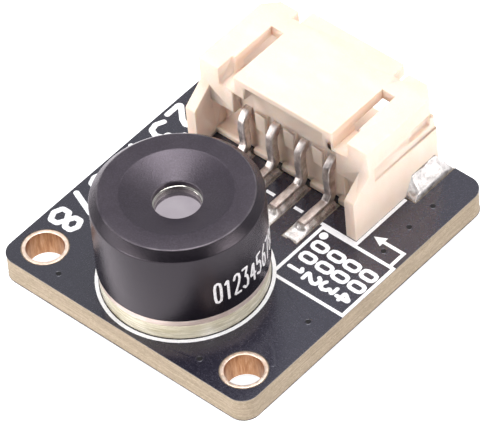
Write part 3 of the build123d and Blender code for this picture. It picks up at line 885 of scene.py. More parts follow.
def node(tree, kind, settings=None, **wires):
    """Adds a node, sets its choices and feeds its inputs, whose names may use _ for a space."""
    made = tree.nodes.new(kind)
    for key, value in (settings or {}).items():
        setattr(made, key, value)
    for label, source in wires.items():
        feed(tree, made.inputs[label.replace("_", " ")], source)
    return made


def maths(tree, operation, first, second):
    """One sum between two values."""
    made = tree.nodes.new("ShaderNodeMath")
    made.operation = operation
    for socket, source in zip(made.inputs, (first, second)):
        feed(tree, socket, source)
    return made.outputs["Value"]


def filleted(tree, curve, count, radius):
    """A curve with its corners rounded off in so many steps."""
    made = node(tree, "GeometryNodeFilletCurve", Curve=curve)
    if "Mode" in made.inputs:
        made.inputs["Mode"].default_value = "Poly"
    else:
        made.mode = "POLY"
    feed(tree, made.inputs["Count"], count)
    feed(tree, made.inputs["Radius"], radius)
    return made.outputs["Curve"]


def close_tree(tree, geometry, end, finish):
    """Ends a tree in Realize Instances and Set Material."""
    real = node(tree, "GeometryNodeRealizeInstances", Geometry=geometry)
    painted = node(tree, "GeometryNodeSetMaterial", Geometry=real.outputs["Geometry"])
    painted.inputs["Material"].default_value = finishes[finish]
    tree.links.new(painted.outputs["Geometry"], end.inputs["Geometry"])


print("node-tree helpers ready")

# %% Growing a shape from lines


def lines_mesh(lines):
    """A mesh of loose edges that follow some lines of points."""
    points = []
    edges = []
    for line in lines:
        first = len(points)
        points += [tuple(p) if len(p) == 3 else (p[0], p[1], 0.0) for p in line]
        edges += [(first + i, first + i + 1) for i in range(len(line) - 1)]
    mesh = bpy.data.meshes.new("lines")
    mesh.from_pydata(points, edges, [])
    return mesh


def grow(tree, start_mesh, sizes):
    """Runs a tree on a start mesh and returns the grown shape as a millimetre bmesh."""
    holder = bpy.data.objects.new("growing", start_mesh)
    grower = holder.modifiers.new("grow", "NODES")
    grower.node_group = tree
    for item in tree.interface.items_tree:
        if item.in_out == "INPUT" and item.name in sizes:
            grower[item.identifier] = sizes[item.name]
    scene.collection.objects.link(holder)
    bpy.context.view_layer.update()
    grown = bpy.data.meshes.new_from_object(holder.evaluated_get(bpy.context.evaluated_depsgraph_get()))
    bpy.data.objects.remove(holder)
    maker = bmesh.new()
    maker.from_mesh(grown)
    bmesh.ops.remove_doubles(maker, verts=maker.verts, dist=1e-5)
    bmesh.ops.recalc_face_normals(maker, faces=maker.faces)
    return maker


print("growing helpers ready")

# %% [markdown]
# ### The wire tree
# A wire follows a bent line. Bending a straight bar would stretch it unevenly, so the line's corners are
# filleted, a square with small round corners is swept along it, and the whole is repeated along X. It
# serves the contacts and the regulator's flat legs, with different sizes.

# %% Wire tree


def wire_tree(name, finish, sizes):
    """Sweeps a rounded rectangle along the start line, then repeats it along X."""
    tree, start, end = new_tree(name, sizes)
    size = start.outputs
    path = node(tree, "GeometryNodeMeshToCurve", Mesh=size["Geometry"])
    bent = filleted(tree, path.outputs["Curve"], size["Bend steps"], size["Bend radius"])
    section = node(
        tree, "GeometryNodeCurvePrimitiveQuadrilateral", Width=size["Width"], Height=size["Thickness"]
    )
    soft = filleted(tree, section.outputs["Curve"], 3, size["Corner"])
    upright = node(tree, "GeometryNodeSetCurveNormal", Curve=bent)
    upright.mode = "MINIMUM_TWIST"
    wire = node(
        tree,
        "GeometryNodeCurveToMesh",
        Curve=upright.outputs["Curve"],
        Profile_Curve=soft,
        Fill_Caps=True,
    )
    step = node(tree, "ShaderNodeCombineXYZ", X=size["Pitch"])
    row = node(tree, "GeometryNodeMeshLine", Count=size["Count"], Offset=step.outputs["Vector"])
    copies = node(
        tree, "GeometryNodeInstanceOnPoints", Points=row.outputs["Mesh"], Instance=wire.outputs["Mesh"]
    )
    close_tree(tree, copies.outputs["Instances"], end, finish)
    return tree


wire_sizes = {
    "Width": 0.5,
    "Thickness": 0.5,
    "Corner": 0.06,
    "Bend radius": 0.35,
    "Bend steps": 8,
    "Pitch": 2.0,
    "Count": 4,
}
contact_tree = wire_tree("contact_wire", "tin", wire_sizes)
print("wire tree nodes:", len(contact_tree.nodes))

# %% [markdown]
# ### The stroke tree
# Circuit-board lettering is drawn with a pen of constant width. A font would give strokes of changing
# width, so the tree sweeps a round pen along each stroke, puts a round dab on both ends and flattens the
# bead to the thickness of the ink.

# %% Stroke tree


def stroke_tree(name, finish):
    """Sweeps a round pen along the start lines and flattens the bead."""
    tree, start, end = new_tree(name, {"Line width": 0.2, "Ink height": 0.02, "Corner": 0.05})
    size = start.outputs
    path = node(tree, "GeometryNodeMeshToCurve", Mesh=size["Geometry"])
    soft = filleted(tree, path.outputs["Curve"], 3, size["Corner"])
    half = maths(tree, "MULTIPLY", size["Line width"], 0.5)
    pen = node(tree, "GeometryNodeCurvePrimitiveCircle", Radius=half)
    pen.inputs["Resolution"].default_value = 12
    bead = node(tree, "GeometryNodeCurveToMesh", Curve=soft, Profile_Curve=pen.outputs["Curve"])
    ends = node(tree, "GeometryNodeCurveEndpointSelection")
    dab = node(tree, "GeometryNodeMeshUVSphere", Segments=12, Rings=8, Radius=half)
    dabs = node(
        tree,
        "GeometryNodeInstanceOnPoints",
        Points=soft,
        Selection=ends.outputs["Selection"],
        Instance=dab.outputs["Mesh"],
    )
    joined = node(tree, "GeometryNodeJoinGeometry")
    tree.links.new(bead.outputs["Mesh"], joined.inputs["Geometry"])
    tree.links.new(dabs.outputs["Instances"], joined.inputs["Geometry"])
    flatness = maths(tree, "DIVIDE", size["Ink height"], half)
    squash = node(tree, "ShaderNodeCombineXYZ", X=1.0, Y=1.0, Z=flatness)
    flat = node(
        tree,
        "GeometryNodeTransform",
        Geometry=joined.outputs["Geometry"],
        Scale=squash.outputs["Vector"],
    )
    close_tree(tree, flat.outputs["Geometry"], end, finish)
    return tree


ink_tree = stroke_tree("ink_strokes", "ink")
mark_tree = stroke_tree("laser_strokes", "mark")
track_tree = stroke_tree("track_relief", "lacquer")
print("stroke trees:", ink_tree.name, mark_tree.name, track_tree.name)


def pen(line_width, ink_height, corner):
    """The stroke tree's three sizes, in millimetres."""
    return {"Line width": line_width, "Ink height": ink_height, "Corner": corner}


def stroke_piece(name, tree, lines, sizes, height, finish):
    """Strokes grown on a flat face at a height, finished as one piece."""
    strokes = grow(tree, lines_mesh(lines), sizes)
    bmesh.ops.translate(strokes, verts=strokes.verts, vec=(0.0, 0.0, height))
    return finish_piece(name, strokes, finish, [])


# %% [markdown]
# ### Stroke digits
# Ten digits on a cell one unit high and 0.6 wide, as pen strokes. The real board carries words and a type
# name here, which are left out: plain counting numbers stand in for them. Each digit is a few corner
# points, because the tree rounds the corners.

# %% Digits
DIGITS = {
    "0": [
        [(0.3, 1), (0.08, 0.94), (0, 0.75), (0, 0.25), (0.08, 0.06), (0.3, 0)]
        + [(0.52, 0.06), (0.6, 0.25), (0.6, 0.75), (0.52, 0.94), (0.3, 1)],
    ],
    "1": [[(0.08, 0.8), (0.34, 1), (0.34, 0)]],
    "2": [[(0, 0.78), (0.1, 0.95), (0.32, 1), (0.54, 0.93), (0.6, 0.73), (0.5, 0.52), (0, 0), (0.62, 0)]],
    "3": [[(0.02, 1), (0.58, 1), (0.28, 0.6), (0.5, 0.55), (0.6, 0.3), (0.5, 0.06), (0.25, 0), (0, 0.12)]],
    "4": [[(0.46, 0), (0.46, 1), (0, 0.3), (0.64, 0.3)]],
    "5": [
        [(0.56, 1), (0.06, 1), (0.02, 0.56), (0.34, 0.62), (0.58, 0.46)]
        + [(0.58, 0.16), (0.34, 0), (0, 0.1)],
    ],
    "6": [
        [(0.5, 1), (0.14, 0.72), (0, 0.34), (0.08, 0.08), (0.3, 0), (0.54, 0.09)]
        + [(0.6, 0.32), (0.5, 0.54), (0.3, 0.6), (0.06, 0.5)],
    ],
    "7": [[(0, 1), (0.6, 1), (0.2, 0)]],
    "8": [
        [(0.3, 0.54), (0.06, 0.68), (0.06, 0.9), (0.3, 1), (0.54, 0.9), (0.54, 0.68), (0.3, 0.54)],
        [(0.3, 0.54), (0.02, 0.38), (0.02, 0.12), (0.3, 0), (0.58, 0.12), (0.58, 0.38), (0.3, 0.54)],
    ],
    "9": [
        [(0.1, 0), (0.46, 0.28), (0.6, 0.66), (0.52, 0.92), (0.3, 1), (0.06, 0.91)]
        + [(0, 0.68), (0.1, 0.46), (0.3, 0.4), (0.54, 0.5)],
    ],
}


def written(text, height, pitch, width=1.0):
    """Strokes of a row of digits from the origin along X, with a pitch in millimetres."""
    lines = []
    for place, letter in enumerate(text):
        for stroke in DIGITS[letter]:
            lines.append([(x * height * width + place * pitch, y * height) for x, y in stroke])
    return lines


def turned_lines(lines, turn, x, y):
    """Strokes turned by so many degrees and moved to a place."""
    c = math.cos(math.radians(turn))
    s = math.sin(math.radians(turn))
    return [[(x + px * c - py * s, y + px * s + py * c) for px, py in line] for line in lines]


print("digits drawn:", "".join(sorted(DIGITS)))

# %% [markdown]
# ## The bare board
# The laminate is a flat plate with round corners and drilled holes. A flat side would look like plastic,
# and a bump alone leaves its outline straight. So its side is a fine grid, pushed inwards by a few
# hundredths of a millimetre with noise, between two flat faces that leave the holes open.

# %% Board measures
hole_low, hole_high = corners("hole_plating_left")
hole_low_right, hole_high_right = corners("hole_plating_right")
hole_x = (hole_low_right.x + hole_high_right.x) / 2
ring_outer = hole_high.x - hole_low.x
hole_bore = 2.1
plated_hole = 2.2
lead_hole = 0.55
barrel_wall = 0.04
edge_step = 0.14
edge_depth = 0.05
lead_places = []
for number in range(1, 5):
    low, high = corners(f"sensor_lead_{number}")
    lead_places.append(((low.x + high.x) / 2, (low.y + high.y) / 2))
barrel_low, barrel_high = corners("lead_barrel_1")
lead_ring = barrel_high.x - barrel_low.x
print("mounting holes", round(2 * hole_x, 2), "mm apart, leads at", len(lead_places), "places")

# %% Rough side and holed faces


def divided(points, step):
    """A closed outline with extra points, so that none are further apart than a step."""
    result = []
    for first, second in zip(points, points[1:] + points[:1]):
        count = max(1, math.ceil(math.dist(first, second) / step))
        for i in range(count):
            share = i / count
            result.append(
                (first[0] + (second[0] - first[0]) * share, first[1] + (second[1] - first[1]) * share)
            )
    return result


def rough_side(points, low, high, rows, depth):
    """The side wall of a plate, a fine grid pushed inwards by noise; the flat faces are added afterwards."""
    maker = bmesh.new()
    middle_of = Vector((sum(p[0] for p in points), sum(p[1] for p in points))) / len(points)
    rings = []
    for row in range(rows + 1):
        height = low + (high - low) * row / rows
        ring = []
        for x, y in points:
            grain = 0.5 + 0.5 * noise.noise((x * 1.3, y * 1.3, height * 9.0))
            fine = 0.5 + 0.5 * noise.noise((x * 6.0, y * 6.0, height * 14.0))
            inwards = (middle_of - Vector((x, y))).normalized()
            moved = Vector((x, y)) + inwards * depth * (0.6 * grain + 0.4 * fine)
            ring.append(maker.verts.new((moved.x, moved.y, height)))
        rings.append(ring)
    for lower, upper in zip(rings, rings[1:]):
        for i in range(len(points)):
            after = (i + 1) % len(points)
            maker.faces.new((lower[i], lower[after], upper[after], upper[i]))
    return maker, rings


def add_holed_face(maker, ring, holes, height, down=False):
    """Closes a ring with a face that leaves some holes open, and returns the holes' points."""
    edges = [maker.edges.get((ring[i], ring[(i + 1) % len(ring)])) for i in range(len(ring))]
    hole_rings = []
    for hole in holes:
        points = [maker.verts.new((x, y, height)) for x, y in hole]
        hole_rings.append(points)
        for first, second in zip(points, points[1:] + points[:1]):
            edges.append(maker.edges.new((first, second)))
    bmesh.ops.triangle_fill(maker, edges=edges, use_beauty=True, normal=(0, 0, -1 if down else 1))
    return hole_rings


print("board helpers ready")

# %% Laminate plate
outline = rounded_rectangle(board_low.x, board_high.x, board_low.y, board_high.y, board_corner, 10)
outline = divided(outline, edge_step)
drilled = [circle(plated_hole, -hole_x, 0.0, 64), circle(plated_hole, hole_x, 0.0, 64)]
drilled += [circle(lead_hole + 2 * barrel_wall, x, y, 24) for x, y in lead_places]
board_maker, side_rings = rough_side(outline, board_low.z, board_high.z, 10, edge_depth)
lower_holes = add_holed_face(board_maker, side_rings[0], drilled, board_low.z, True)
upper_holes = add_holed_face(board_maker, side_rings[-1], drilled, board_high.z)
for lower, upper in zip(lower_holes, upper_holes):
    for i in range(len(lower)):
        after = (i + 1) % len(lower)
        board_maker.faces.new((lower[i], lower[after], upper[after], upper[i]))
bmesh.ops.recalc_face_normals(board_maker, faces=board_maker.faces)
finish_piece("laminate", board_maker, "laminate", ["circuit_board"])

# %% [markdown]
# ## Lacquer, tracks and vias
# The lacquer is a skin with openings round the rings and pads. Drawing the openings again would invite
# mistakes, so copies of its two nodes are used, with their flat areas joined and their edges eased. Copper
# tracks under lacquer show as low, wide ridges. They are guessed where no chip or connector gives them
# away.

# %% Lacquer skins
for name in ("solder_mask_top", "solder_mask_bottom"):
    skin_piece = finish_piece(name + "_skin", copy_of(name), "lacquer", [name])
    round_edges(skin_piece, 0.012, 1)

# %% Ridges of the copper tracks
top_tracks = [
    [(-2.9, 11.0), (-2.9, 10.2), (-5.4, 8.6), (-7.2, 7.2), (-7.2, 4.0)],
    [(2.9, 9.4), (2.9, 8.4), (4.6, 7.1), (5.4, 5.6), (7.5, 4.6)],
    [(5.8, 2.4), (7.3, 1.9), (8.0, 1.2)],
    [(-5.6, 0.2), (-4.4, -1.0), (-1.6, -1.3), (2.0, -1.3), (4.7, -0.85)],
    [(7.4, 10.8), (7.4, 13.0), (7.4, 14.9), (6.9, 16.6)],
]
bottom_tracks = [
    [(-4.4, 8.2), (-4.4, 6.4), (-3.0, 5.6)],
    [(4.4, 8.2), (4.4, 6.6), (3.0, 5.6)],
    [(-1.7, 9.6), (-2.75, 9.6)],
    [(1.7, 10.3), (2.75, 9.8)],
    [(0.0, 11.4), (0.0, 14.2), (-2.0, 15.4)],
    [(2.6, 13.4), (3.6, 14.6), (7.4, 14.9)],
    [(-2.6, 13.4), (-4.0, 14.8), (-7.2, 14.8), (-7.6, 12.0), (-7.6, 4.0)],
    [(-1.4, 0.8), (0.0, -0.4), (4.7, -0.85)],
]
board_bottom = corners("solder_mask_bottom")[0].z
stroke_piece(
    "track_ridges_top", track_tree, top_tracks, pen(0.34, 0.007, 0.2), board_top, "lacquer"
)
stroke_piece(
    "track_ridges_bottom",
    track_tree,
    bottom_tracks,
    pen(0.34, 0.014, 0.2),
    board_bottom,
    "lacquer",
)

# %% [markdown]
# ### Vias
# Vias are drilled holes that the lacquer has plugged. Each shows as a small dark plug with a raised lip. A
# tree puts copies of one lip on a handful of points, because every lip is alike, and each plug is turned
# from a low profile in a blacker lacquer.

# %% Plugged vias
via_places = [(-5.19, -0.97), (4.72, -0.85), (7.51, 4.58), (7.41, 10.82), (7.38, 12.98), (7.40, 14.92)]


def via_tree():
    """Puts a small lipped ring on every start point."""
    tree, start, end = new_tree("plugged_vias", {"Diameter": 0.5, "Lip": 0.05})
    size = start.outputs
    half = maths(tree, "MULTIPLY", size["Diameter"], 0.5)
    round_line = node(tree, "GeometryNodeCurvePrimitiveCircle", Radius=half)
    round_line.inputs["Resolution"].default_value = 28
    lip_line = node(tree, "GeometryNodeCurvePrimitiveCircle", Radius=size["Lip"])
    lip_line.inputs["Resolution"].default_value = 8
    lip = node(
        tree,
        "GeometryNodeCurveToMesh",
        Curve=round_line.outputs["Curve"],
        Profile_Curve=lip_line.outputs["Curve"],
    )
    flat = node(tree, "GeometryNodeTransform", Geometry=lip.outputs["Mesh"], Scale=(1.0, 1.0, 0.28))
    copies = node(
        tree, "GeometryNodeInstanceOnPoints", Points=size["Geometry"], Instance=flat.outputs["Geometry"]
    )
    close_tree(tree, copies.outputs["Instances"], end, "lacquer")
    return tree


via_points = lines_mesh([[(x, y, board_top)] for x, y in via_places])
via_lips = grow(via_tree(), via_points, {"Diameter": 0.36, "Lip": 0.04})
finish_piece("via_lips_top", via_lips, "lacquer", [])

# %% Via plugs
plug = Finish("via_plug", specular=0.3)
plug_cloud = plug.cloud(12.0)
plug.paint(plug.ramp(plug_cloud, [(0.3, colour("0b0a0c")), (0.7, colour("17151a"))]))
plug.gloss(plug.span(plug_cloud, 0.5, 0.7))
plug.relief(plug_cloud, 0.01)
plug.keep("plug")
plug_maker = bmesh.new()
plug_profile = [(0.0, board_top + 0.008), (0.1, board_top + 0.01), (0.145, board_top + 0.012)]
plug_profile += [(0.165, board_top - 0.01), (0.0, board_top - 0.01)]
for x, y in via_places:
    turned(plug_maker, plug_profile, x, y, 20)
finish_piece("via_plugs_top", plug_maker, "plug", [])

# %% [markdown]
# ## Printed markings
# The frame lines are a copy of their node. The numbers are pen strokes: four rows of counting numbers
# beside the connector, one for each contact, and a row of large ones along the left edge. They are real
# relief, two hundredths of a millimetre high, so that they catch the light as printed ink does.

# %% Outlines and numbers
finish_piece("printed_lines", copy_of("silkscreen_top"), "ink", ["silkscreen_top"])
legend_lines = []
for row_number, x in enumerate((4.12, 5.27, 6.35, 7.50)):
    label = f"{row_number + 1:03d}"
    legend_lines += turned_lines(written(label, 0.88, 0.98), -90.0, x, 9.25)
stroke_piece(
    "legend_numbers", ink_tree, legend_lines, pen(0.24, 0.02, 0.06), board_top, "ink"
)
title_lines = turned_lines(written("2345678", 1.75, 1.62), -90.0, -8.4, 12.4)
stroke_piece("edge_numbers", ink_tree, title_lines, pen(0.34, 0.02, 0.1), board_top, "ink")

# %% [markdown]
# ## Plated mounting holes
# Each hole has a copper lining with a flat ring on both faces. Cutting a ring and a tube from solids would
# leave a hard joint, so the profile is turned once per hole, with a softly rounded lip where the ring folds
# into the bore. A stored value tells the finish which part is the browner lining.

# %% Hole linings
ring_thickness = 0.06


def lining(side, x):
    """The lining and both rings of one mounting hole."""
    bore = hole_bore / 2
    outer = ring_outer / 2
    wall = plated_hole / 2
    top = board_top
    low = board_bottom
    corner_line = [(wall, low + ring_thickness), (outer, low + ring_thickness), (outer, low), (bore, low)]
    corner_line += [(bore, top), (outer, top), (outer, top - ring_thickness), (wall, top - ring_thickness)]
    maker = bmesh.new()
    turned(maker, rounded(corner_line, 0.05), x, 0.0, 128, True)
    name = f"hole_lining_{side}"
    piece = finish_piece(name, maker, "copper", [f"hole_plating_{side}"], 60.0)

    def in_bore(point):
        near = math.hypot(point.x - x, point.y) < bore + 0.03
        return 1.0 if near and low + 0.04 < point.z < top - 0.04 else 0.0

    mark_points(piece, "inside", in_bore)


lining("left", -hole_x)
lining("right", hole_x)

# %% [markdown]
# ## The connector housing
# The moulded housing keeps the exact shape of its node, which has every slot, rib and pocket already. A
# live bevel gives its longer outer corners the small radius that a mould leaves. Short edges stay sharp,
# because bevels that meet in a small pocket fold over each other.

# %% Moulded housing
long_enough = 0.62
housing_maker = copy_of("connector_housing", flatten=False)
softened = housing_maker.edges.layers.float.new("bevel_weight_edge")
long_edges = 0
for edge in housing_maker.edges:
    if len(edge.link_faces) == 2 and edge.is_convex and edge.calc_face_angle() > 0.5:
        if edge.calc_length() > long_enough:
            edge[softened] = 1.0
            long_edges += 1
housing = finish_piece("housing", housing_maker, "nylon", ["connector_housing"], 40.0)
soft_corners = round_edges(housing, 0.09, 3)
soft_corners.limit_method = "WEIGHT"
soft_corners.use_clamp_overlap = False
print("softened edges:", long_edges)
housing_low, housing_high = corners("connector_housing")
print("housing", round(housing_high.x - housing_low.x, 2), "wide")

# %% [markdown]
# ## Contacts
# Four bent wires go from the plug space over a bend, down the rear wall and out along their pads. The line
# is drawn once, with the slight S that bending leaves in the upright run, and the wire tree repeats it, so
# all four stay alike.

# %% Bent contact wires
contact_low, contact_high = corners("contact_1")
wire = 0.5
pitch = corners("contact_2")[0].x - contact_low.x
first_x = (contact_low.x + contact_high.x) / 2
foot_z = contact_low.z + wire / 2
arm_z = contact_high.z - wire / 2
foot_length = 2.43
tail_y = contact_low.y + foot_length
slope = 0.38
contact_line = [
    (first_x, contact_high.y, arm_z),
    (first_x, tail_y + slope, arm_z),
    (first_x, tail_y, arm_z - slope),
    (first_x, tail_y - 0.05, (arm_z + foot_z) / 2 + 0.25),
    (first_x, tail_y + 0.03, foot_z + slope + 0.25),
    (first_x, tail_y - 0.02, foot_z + slope),
    (first_x, tail_y - slope, foot_z),
    (first_x, contact_low.y + 0.02, foot_z),
]
contact_sizes = dict(wire_sizes, Pitch=pitch, Width=wire, Thickness=wire)
contact_sizes["Corner"] = 0.07
contact_sizes["Bend radius"] = 0.3
contacts = grow(contact_tree, lines_mesh([contact_line]), contact_sizes)
numbers = range(1, 5)
finish_piece("contacts", contacts, "tin", [f"contact_{n}" for n in numbers], 50.0)
print("contact pitch", round(pitch, 3))

# %% [markdown]
# ## Solder at the contacts
# Molten solder wets the pad, climbs the sides of the foot in a hollow curve and leaves a thin bright sheet
# in front of the toe. Sculpting four joints by hand would be slow. Here the skin is a fine grid over the
# pad whose height is worked out from the distance to the foot, with a little noise for lumps.

# %% Solder skin


def solder_skin(maker, x0, x1, y0, y1, base, height_of, columns, rows):
    """A closed lump on a rectangle, with its top at a height worked out for every point."""
    tops = []
    for i in range(columns + 1):
        line = []
        for j in range(rows + 1):
            x = x0 + (x1 - x0) * i / columns
            y = y0 + (y1 - y0) * j / rows
            rim = min(i, columns - i, 2) / 2 * min(j, rows - j, 2) / 2
            line.append(maker.verts.new((x, y, base + 0.004 + rim * height_of(x, y))))
        tops.append(line)
    floor_points = {}
    for i in range(columns + 1):
        for j in range(rows + 1):
            if i in (0, columns) or j in (0, rows):
                floor_points[i, j] = maker.verts.new((tops[i][j].co.x, tops[i][j].co.y, base - 0.01))
    for i in range(columns):
        for j in range(rows):
            maker.faces.new((tops[i][j], tops[i + 1][j], tops[i + 1][j + 1], tops[i][j + 1]))
    rim_line = [(i, 0) for i in range(columns)] + [(columns, j) for j in range(rows)]
    rim_line += [(i, rows) for i in range(columns, 0, -1)] + [(0, j) for j in range(rows, 0, -1)]
    for here, after in zip(rim_line, rim_line[1:] + rim_line[:1]):
        side = (tops[here[0]][here[1]], floor_points[here], floor_points[after], tops[after[0]][after[1]])
        maker.faces.new(side)
    maker.faces.new([floor_points[p] for p in reversed(rim_line)])


print("a skin of 28 x 76 cells has", 28 * 76, "top faces")

# %% Height of the contact solder
pad_low, pad_high = corners("signal_pad_1")
pad_width = pad_high.x - pad_low.x
pad_sink = 0.03
solder_run = 1.5
toe_y = contact_low.y


def contact_solder(x, y, middle_x, seed):
    """Height of the solder beside a contact foot."""
    aside = max(0.0, abs(x - middle_x) - wire / 2)
    ahead = max(0.0, toe_y - y)
    away = math.hypot(aside, ahead)
    lumps = noise.noise((x * 3.0 + seed, y * 2.2, seed * 1.7))
    climb = 0.33 * math.exp(-((away / 0.15) ** 1.3))
    sheet = 0.10 + 0.035 * lumps
    if abs(x - middle_x) < wire / 2 and y > toe_y:
        climb = 0.2
    behind = max(0.0, y - (tail_y - 0.2))
    fade = math.exp(-((behind / 0.35) ** 2))
    notch = math.exp(-(((x - middle_x) / 0.13) ** 2 + ((y - toe_y + 0.04) / 0.07) ** 2))
    return max(0.01, (climb * (1 + 0.3 * lumps) + sheet) * (0.35 + 0.65 * fade) - 0.3 * notch)


height_beside_foot = contact_solder(first_x + wire / 2, toe_y + 1.0, first_x, 0.0)
print("solder beside a foot is", round(height_beside_foot, 2), "mm high")

# %% Contact joints
solder_maker = bmesh.new()
for number in range(4):
    middle_x = first_x + number * pitch
    left = middle_x - pad_width / 2
    solder_skin(
        solder_maker,
        left,
        left + pad_width,
        pad_low.y,
        min(pad_high.y, housing_low.y + solder_run),
        pad_high.z - pad_sink,
        lambda x, y: contact_solder(x, y, middle_x, number * 3.1),
        28,
        76,
    )
bmesh.ops.recalc_face_normals(solder_maker, faces=solder_maker.faces)
joint_nodes = [f"contact_solder_{n}" for n in numbers]
joints = finish_piece("contact_joints", solder_maker, "solder", joint_nodes, 60.0)


# %% Dried flux


def flux_beside_foot(point):
    """Dried flux: strongest beside and behind the foot, none on the sheet in front of it."""
    nearest = min((abs(point.x - (first_x + k * pitch)) for k in range(4)))
    beside = min(1.0, max(0.0, (nearest - 0.24) / 0.08)) * min(1.0, max(0.0, (point.y - toe_y + 0.1) / 0.3))
    patchy = 0.5 + 0.6 * noise.noise((point.x * 4.0, point.y * 3.0, 2.0))
    return max(0.0, min(1.0, beside * patchy))


mark_points(joints, "flux", flux_beside_foot)
print("flux marked on", len(joints.data.vertices), "points")

# %% [markdown]
# ## Pads and solder tabs
# The tinned pads are thin plates. The two metal tabs that tie the housing to the board stand in slots of
# its side walls, and solder climbs from their pads to a rough crest against the wall. The climb uses the
# same grid as the contacts' joints, with a height that falls away from the wall.

# %% Pads, tabs and underside pads
pad_nodes = [f"signal_pad_{n}" for n in numbers] + ["tab_pad_left", "tab_pad_right"]
pads = finish_piece("pads_top", copy_of(*pad_nodes), "solder", pad_nodes)
round_edges(pads, 0.015, 2)
low_pads = finish_piece("pads_bottom", copy_of("underside_pads"), "solder", ["underside_pads"])
round_edges(low_pads, 0.012, 2)
for side in ("left", "right"):
    tab = finish_piece(
        f"tie_tab_{side}", copy_of(f"solder_tab_{side}"), "tin", [f"solder_tab_{side}"]
    )
    round_edges(tab, 0.05, 2)

# %% Solder at the tabs


def tab_skin(side):
    """The lump that climbs one tab."""
    low, high = corners(f"tab_pad_{side}")
    joint_low, joint_high = corners(f"tab_solder_{side}")
    wall_x = housing_high.x if side == "right" else housing_low.x
    sign = 1.0 if side == "right" else -1.0
    inner_x = wall_x - sign * 0.3
    outer_x = high.x if side == "right" else low.x
    middle_y = (joint_low.y + joint_high.y) / 2
    half_run = (joint_high.y - joint_low.y) / 2
    crest = joint_high.z - joint_low.z

    def height_of(x, y):
        out = max(0.0, sign * (x - wall_x))
        along = max(0.0, abs(y - middle_y) - half_run) / 0.45
        lumps = noise.noise((x * 1.7, y * 1.4, 5.0 + sign))
        fine = noise.noise((x * 7.0, y * 7.0, 9.0 + sign))
        climb = crest * 0.95 * math.exp(-out / 0.5) * math.exp(-(along**2))
        return 0.1 + 0.02 * lumps + climb * (1.0 + 0.12 * lumps) + 0.008 * fine

    maker = bmesh.new()
    x0, x1 = min(inner_x, outer_x), max(inner_x, outer_x)
    solder_skin(maker, x0, x1, low.y, high.y, high.z - pad_sink, height_of, 36, 70)
    bmesh.ops.recalc_face_normals(maker, faces=maker.faces)
    piece = finish_piece(f"tab_joint_{side}", maker, "solder", [f"tab_solder_{side}"], 60.0)
    mark_points(piece, "flux", lambda point: 0.12 if abs(point.y - middle_y) > half_run + 0.4 else 0.0)


tab_skin("left")
tab_skin("right")

# %% [markdown]
# ## The sensor can
# The can is one turned profile: a chamfered shoulder, a flat top, a dish down to the aperture, and the bore
# behind it. A lathe made the real one, so a spun profile gives the same clean rings. Every turned corner gets
# a small radius. Points close to the shoulder's upper corner and to the aperture's edge are marked, so that
# the finish can paint a highlight on them.

# %% Turned can
can_low, can_high = corners("sensor_cap")
can_x = (can_low.x + can_high.x) / 2
can_y = (can_low.y + can_high.y) / 2
can_radius = (can_high.x - can_low.x) / 2
ring_low, ring_high = corners("lens_ring")
window_low, window_high = corners("lens_window")
aperture = 1.32
dish_radius = 3.05
dish_depth = 0.65
shoulder = 0.48
can_wall = 0.5
roof = 2.1
ring_seat = 1.6
can_corners = [
    (can_radius - can_wall, can_low.z),
    (can_radius, can_low.z),
    (can_radius, can_high.z - shoulder),
    (can_radius - shoulder, can_high.z),
    (dish_radius, can_high.z),
    (aperture, can_high.z - dish_depth),
    (aperture, ring_high.z),
    (ring_seat, ring_high.z),
    (ring_seat, can_high.z - roof),
    (can_radius - can_wall, can_high.z - roof),
    (can_radius - can_wall, can_low.z + 0.01),
]
can_maker = bmesh.new()
turned(can_maker, rounded(can_corners, 0.07, 4)[:-1], can_x, can_y, 192, True)
can = finish_piece("can", can_maker, "black", ["sensor_cap"], 50.0)

# %% Painted highlight on two edges, gloss and painted shade on the side
lip_places = [(can_radius - shoulder, can_high.z), (aperture, can_high.z - dish_depth)]
lip_strength = [0.3, 0.45]


def edge_highlight_of(point):
    """How much painted highlight a point of the can gets: most on the two places listed above."""
    radius = math.hypot(point.x - can_x, point.y - can_y)
    best = 0.0
    for (edge_radius, edge_height), strength in zip(lip_places, lip_strength):
        away = math.hypot(radius - edge_radius, point.z - edge_height)
        best = max(best, strength * math.exp(-((away / 0.045) ** 2)))
    patchy = 0.55 + 0.9 * noise.noise((point.x * 1.2, point.y * 1.2, 1.0))
    return max(0.0, min(1.0, best * patchy))


mark_points(can, "edge", edge_highlight_of)


# The wall and the shoulder get more gloss, and their deeper black base colour is painted shade.
def glossy_shaded_side_of(point):
    """1 on the wall and the shoulder, 0 on the flat top and in the dish."""
    radius = math.hypot(point.x - can_x, point.y - can_y)
    return min(1.0, max(0.0, (radius - (can_radius - shoulder) - 0.01) / 0.03))


mark_points(can, "turned", glossy_shaded_side_of)
print("marks on the can:", [layer.name for layer in can.data.attributes if layer.name in ("edge", "turned")])

# %% [markdown]
# ### The code on the can's wall
# The real can has a laser-marked serial code. A plain run of digits stands in for it. The strokes are
# written flat, then bent round the wall: distance along the row becomes an angle. That keeps their width
# even, which pressing flat strokes onto the wall would not.

# %% Laser-marked digits
code_lines = written("0123456789", 1.42, 0.59, 0.42)
code_height = 3.95


def bend_round(maker, radius, start_angle, height):
    """Wraps a flat row of strokes round the can's wall."""
    for point in maker.verts:
        turn = start_angle + point.co.x / radius
        reach = radius + point.co.z
        point.co = (
            can_x + reach * math.cos(turn),
            can_y + reach * math.sin(turn),
            height + point.co.y,
        )


code = grow(mark_tree, lines_mesh(code_lines), pen(0.16, 0.01, 0.04))
bmesh.ops.subdivide_edges(
    code, edges=[e for e in code.edges if e.calc_length() > 0.25], cuts=2, use_grid_fill=True
)
bend_round(code, can_radius, math.radians(-26.0), code_height)
finish_piece("can_digits", code, "mark", [])

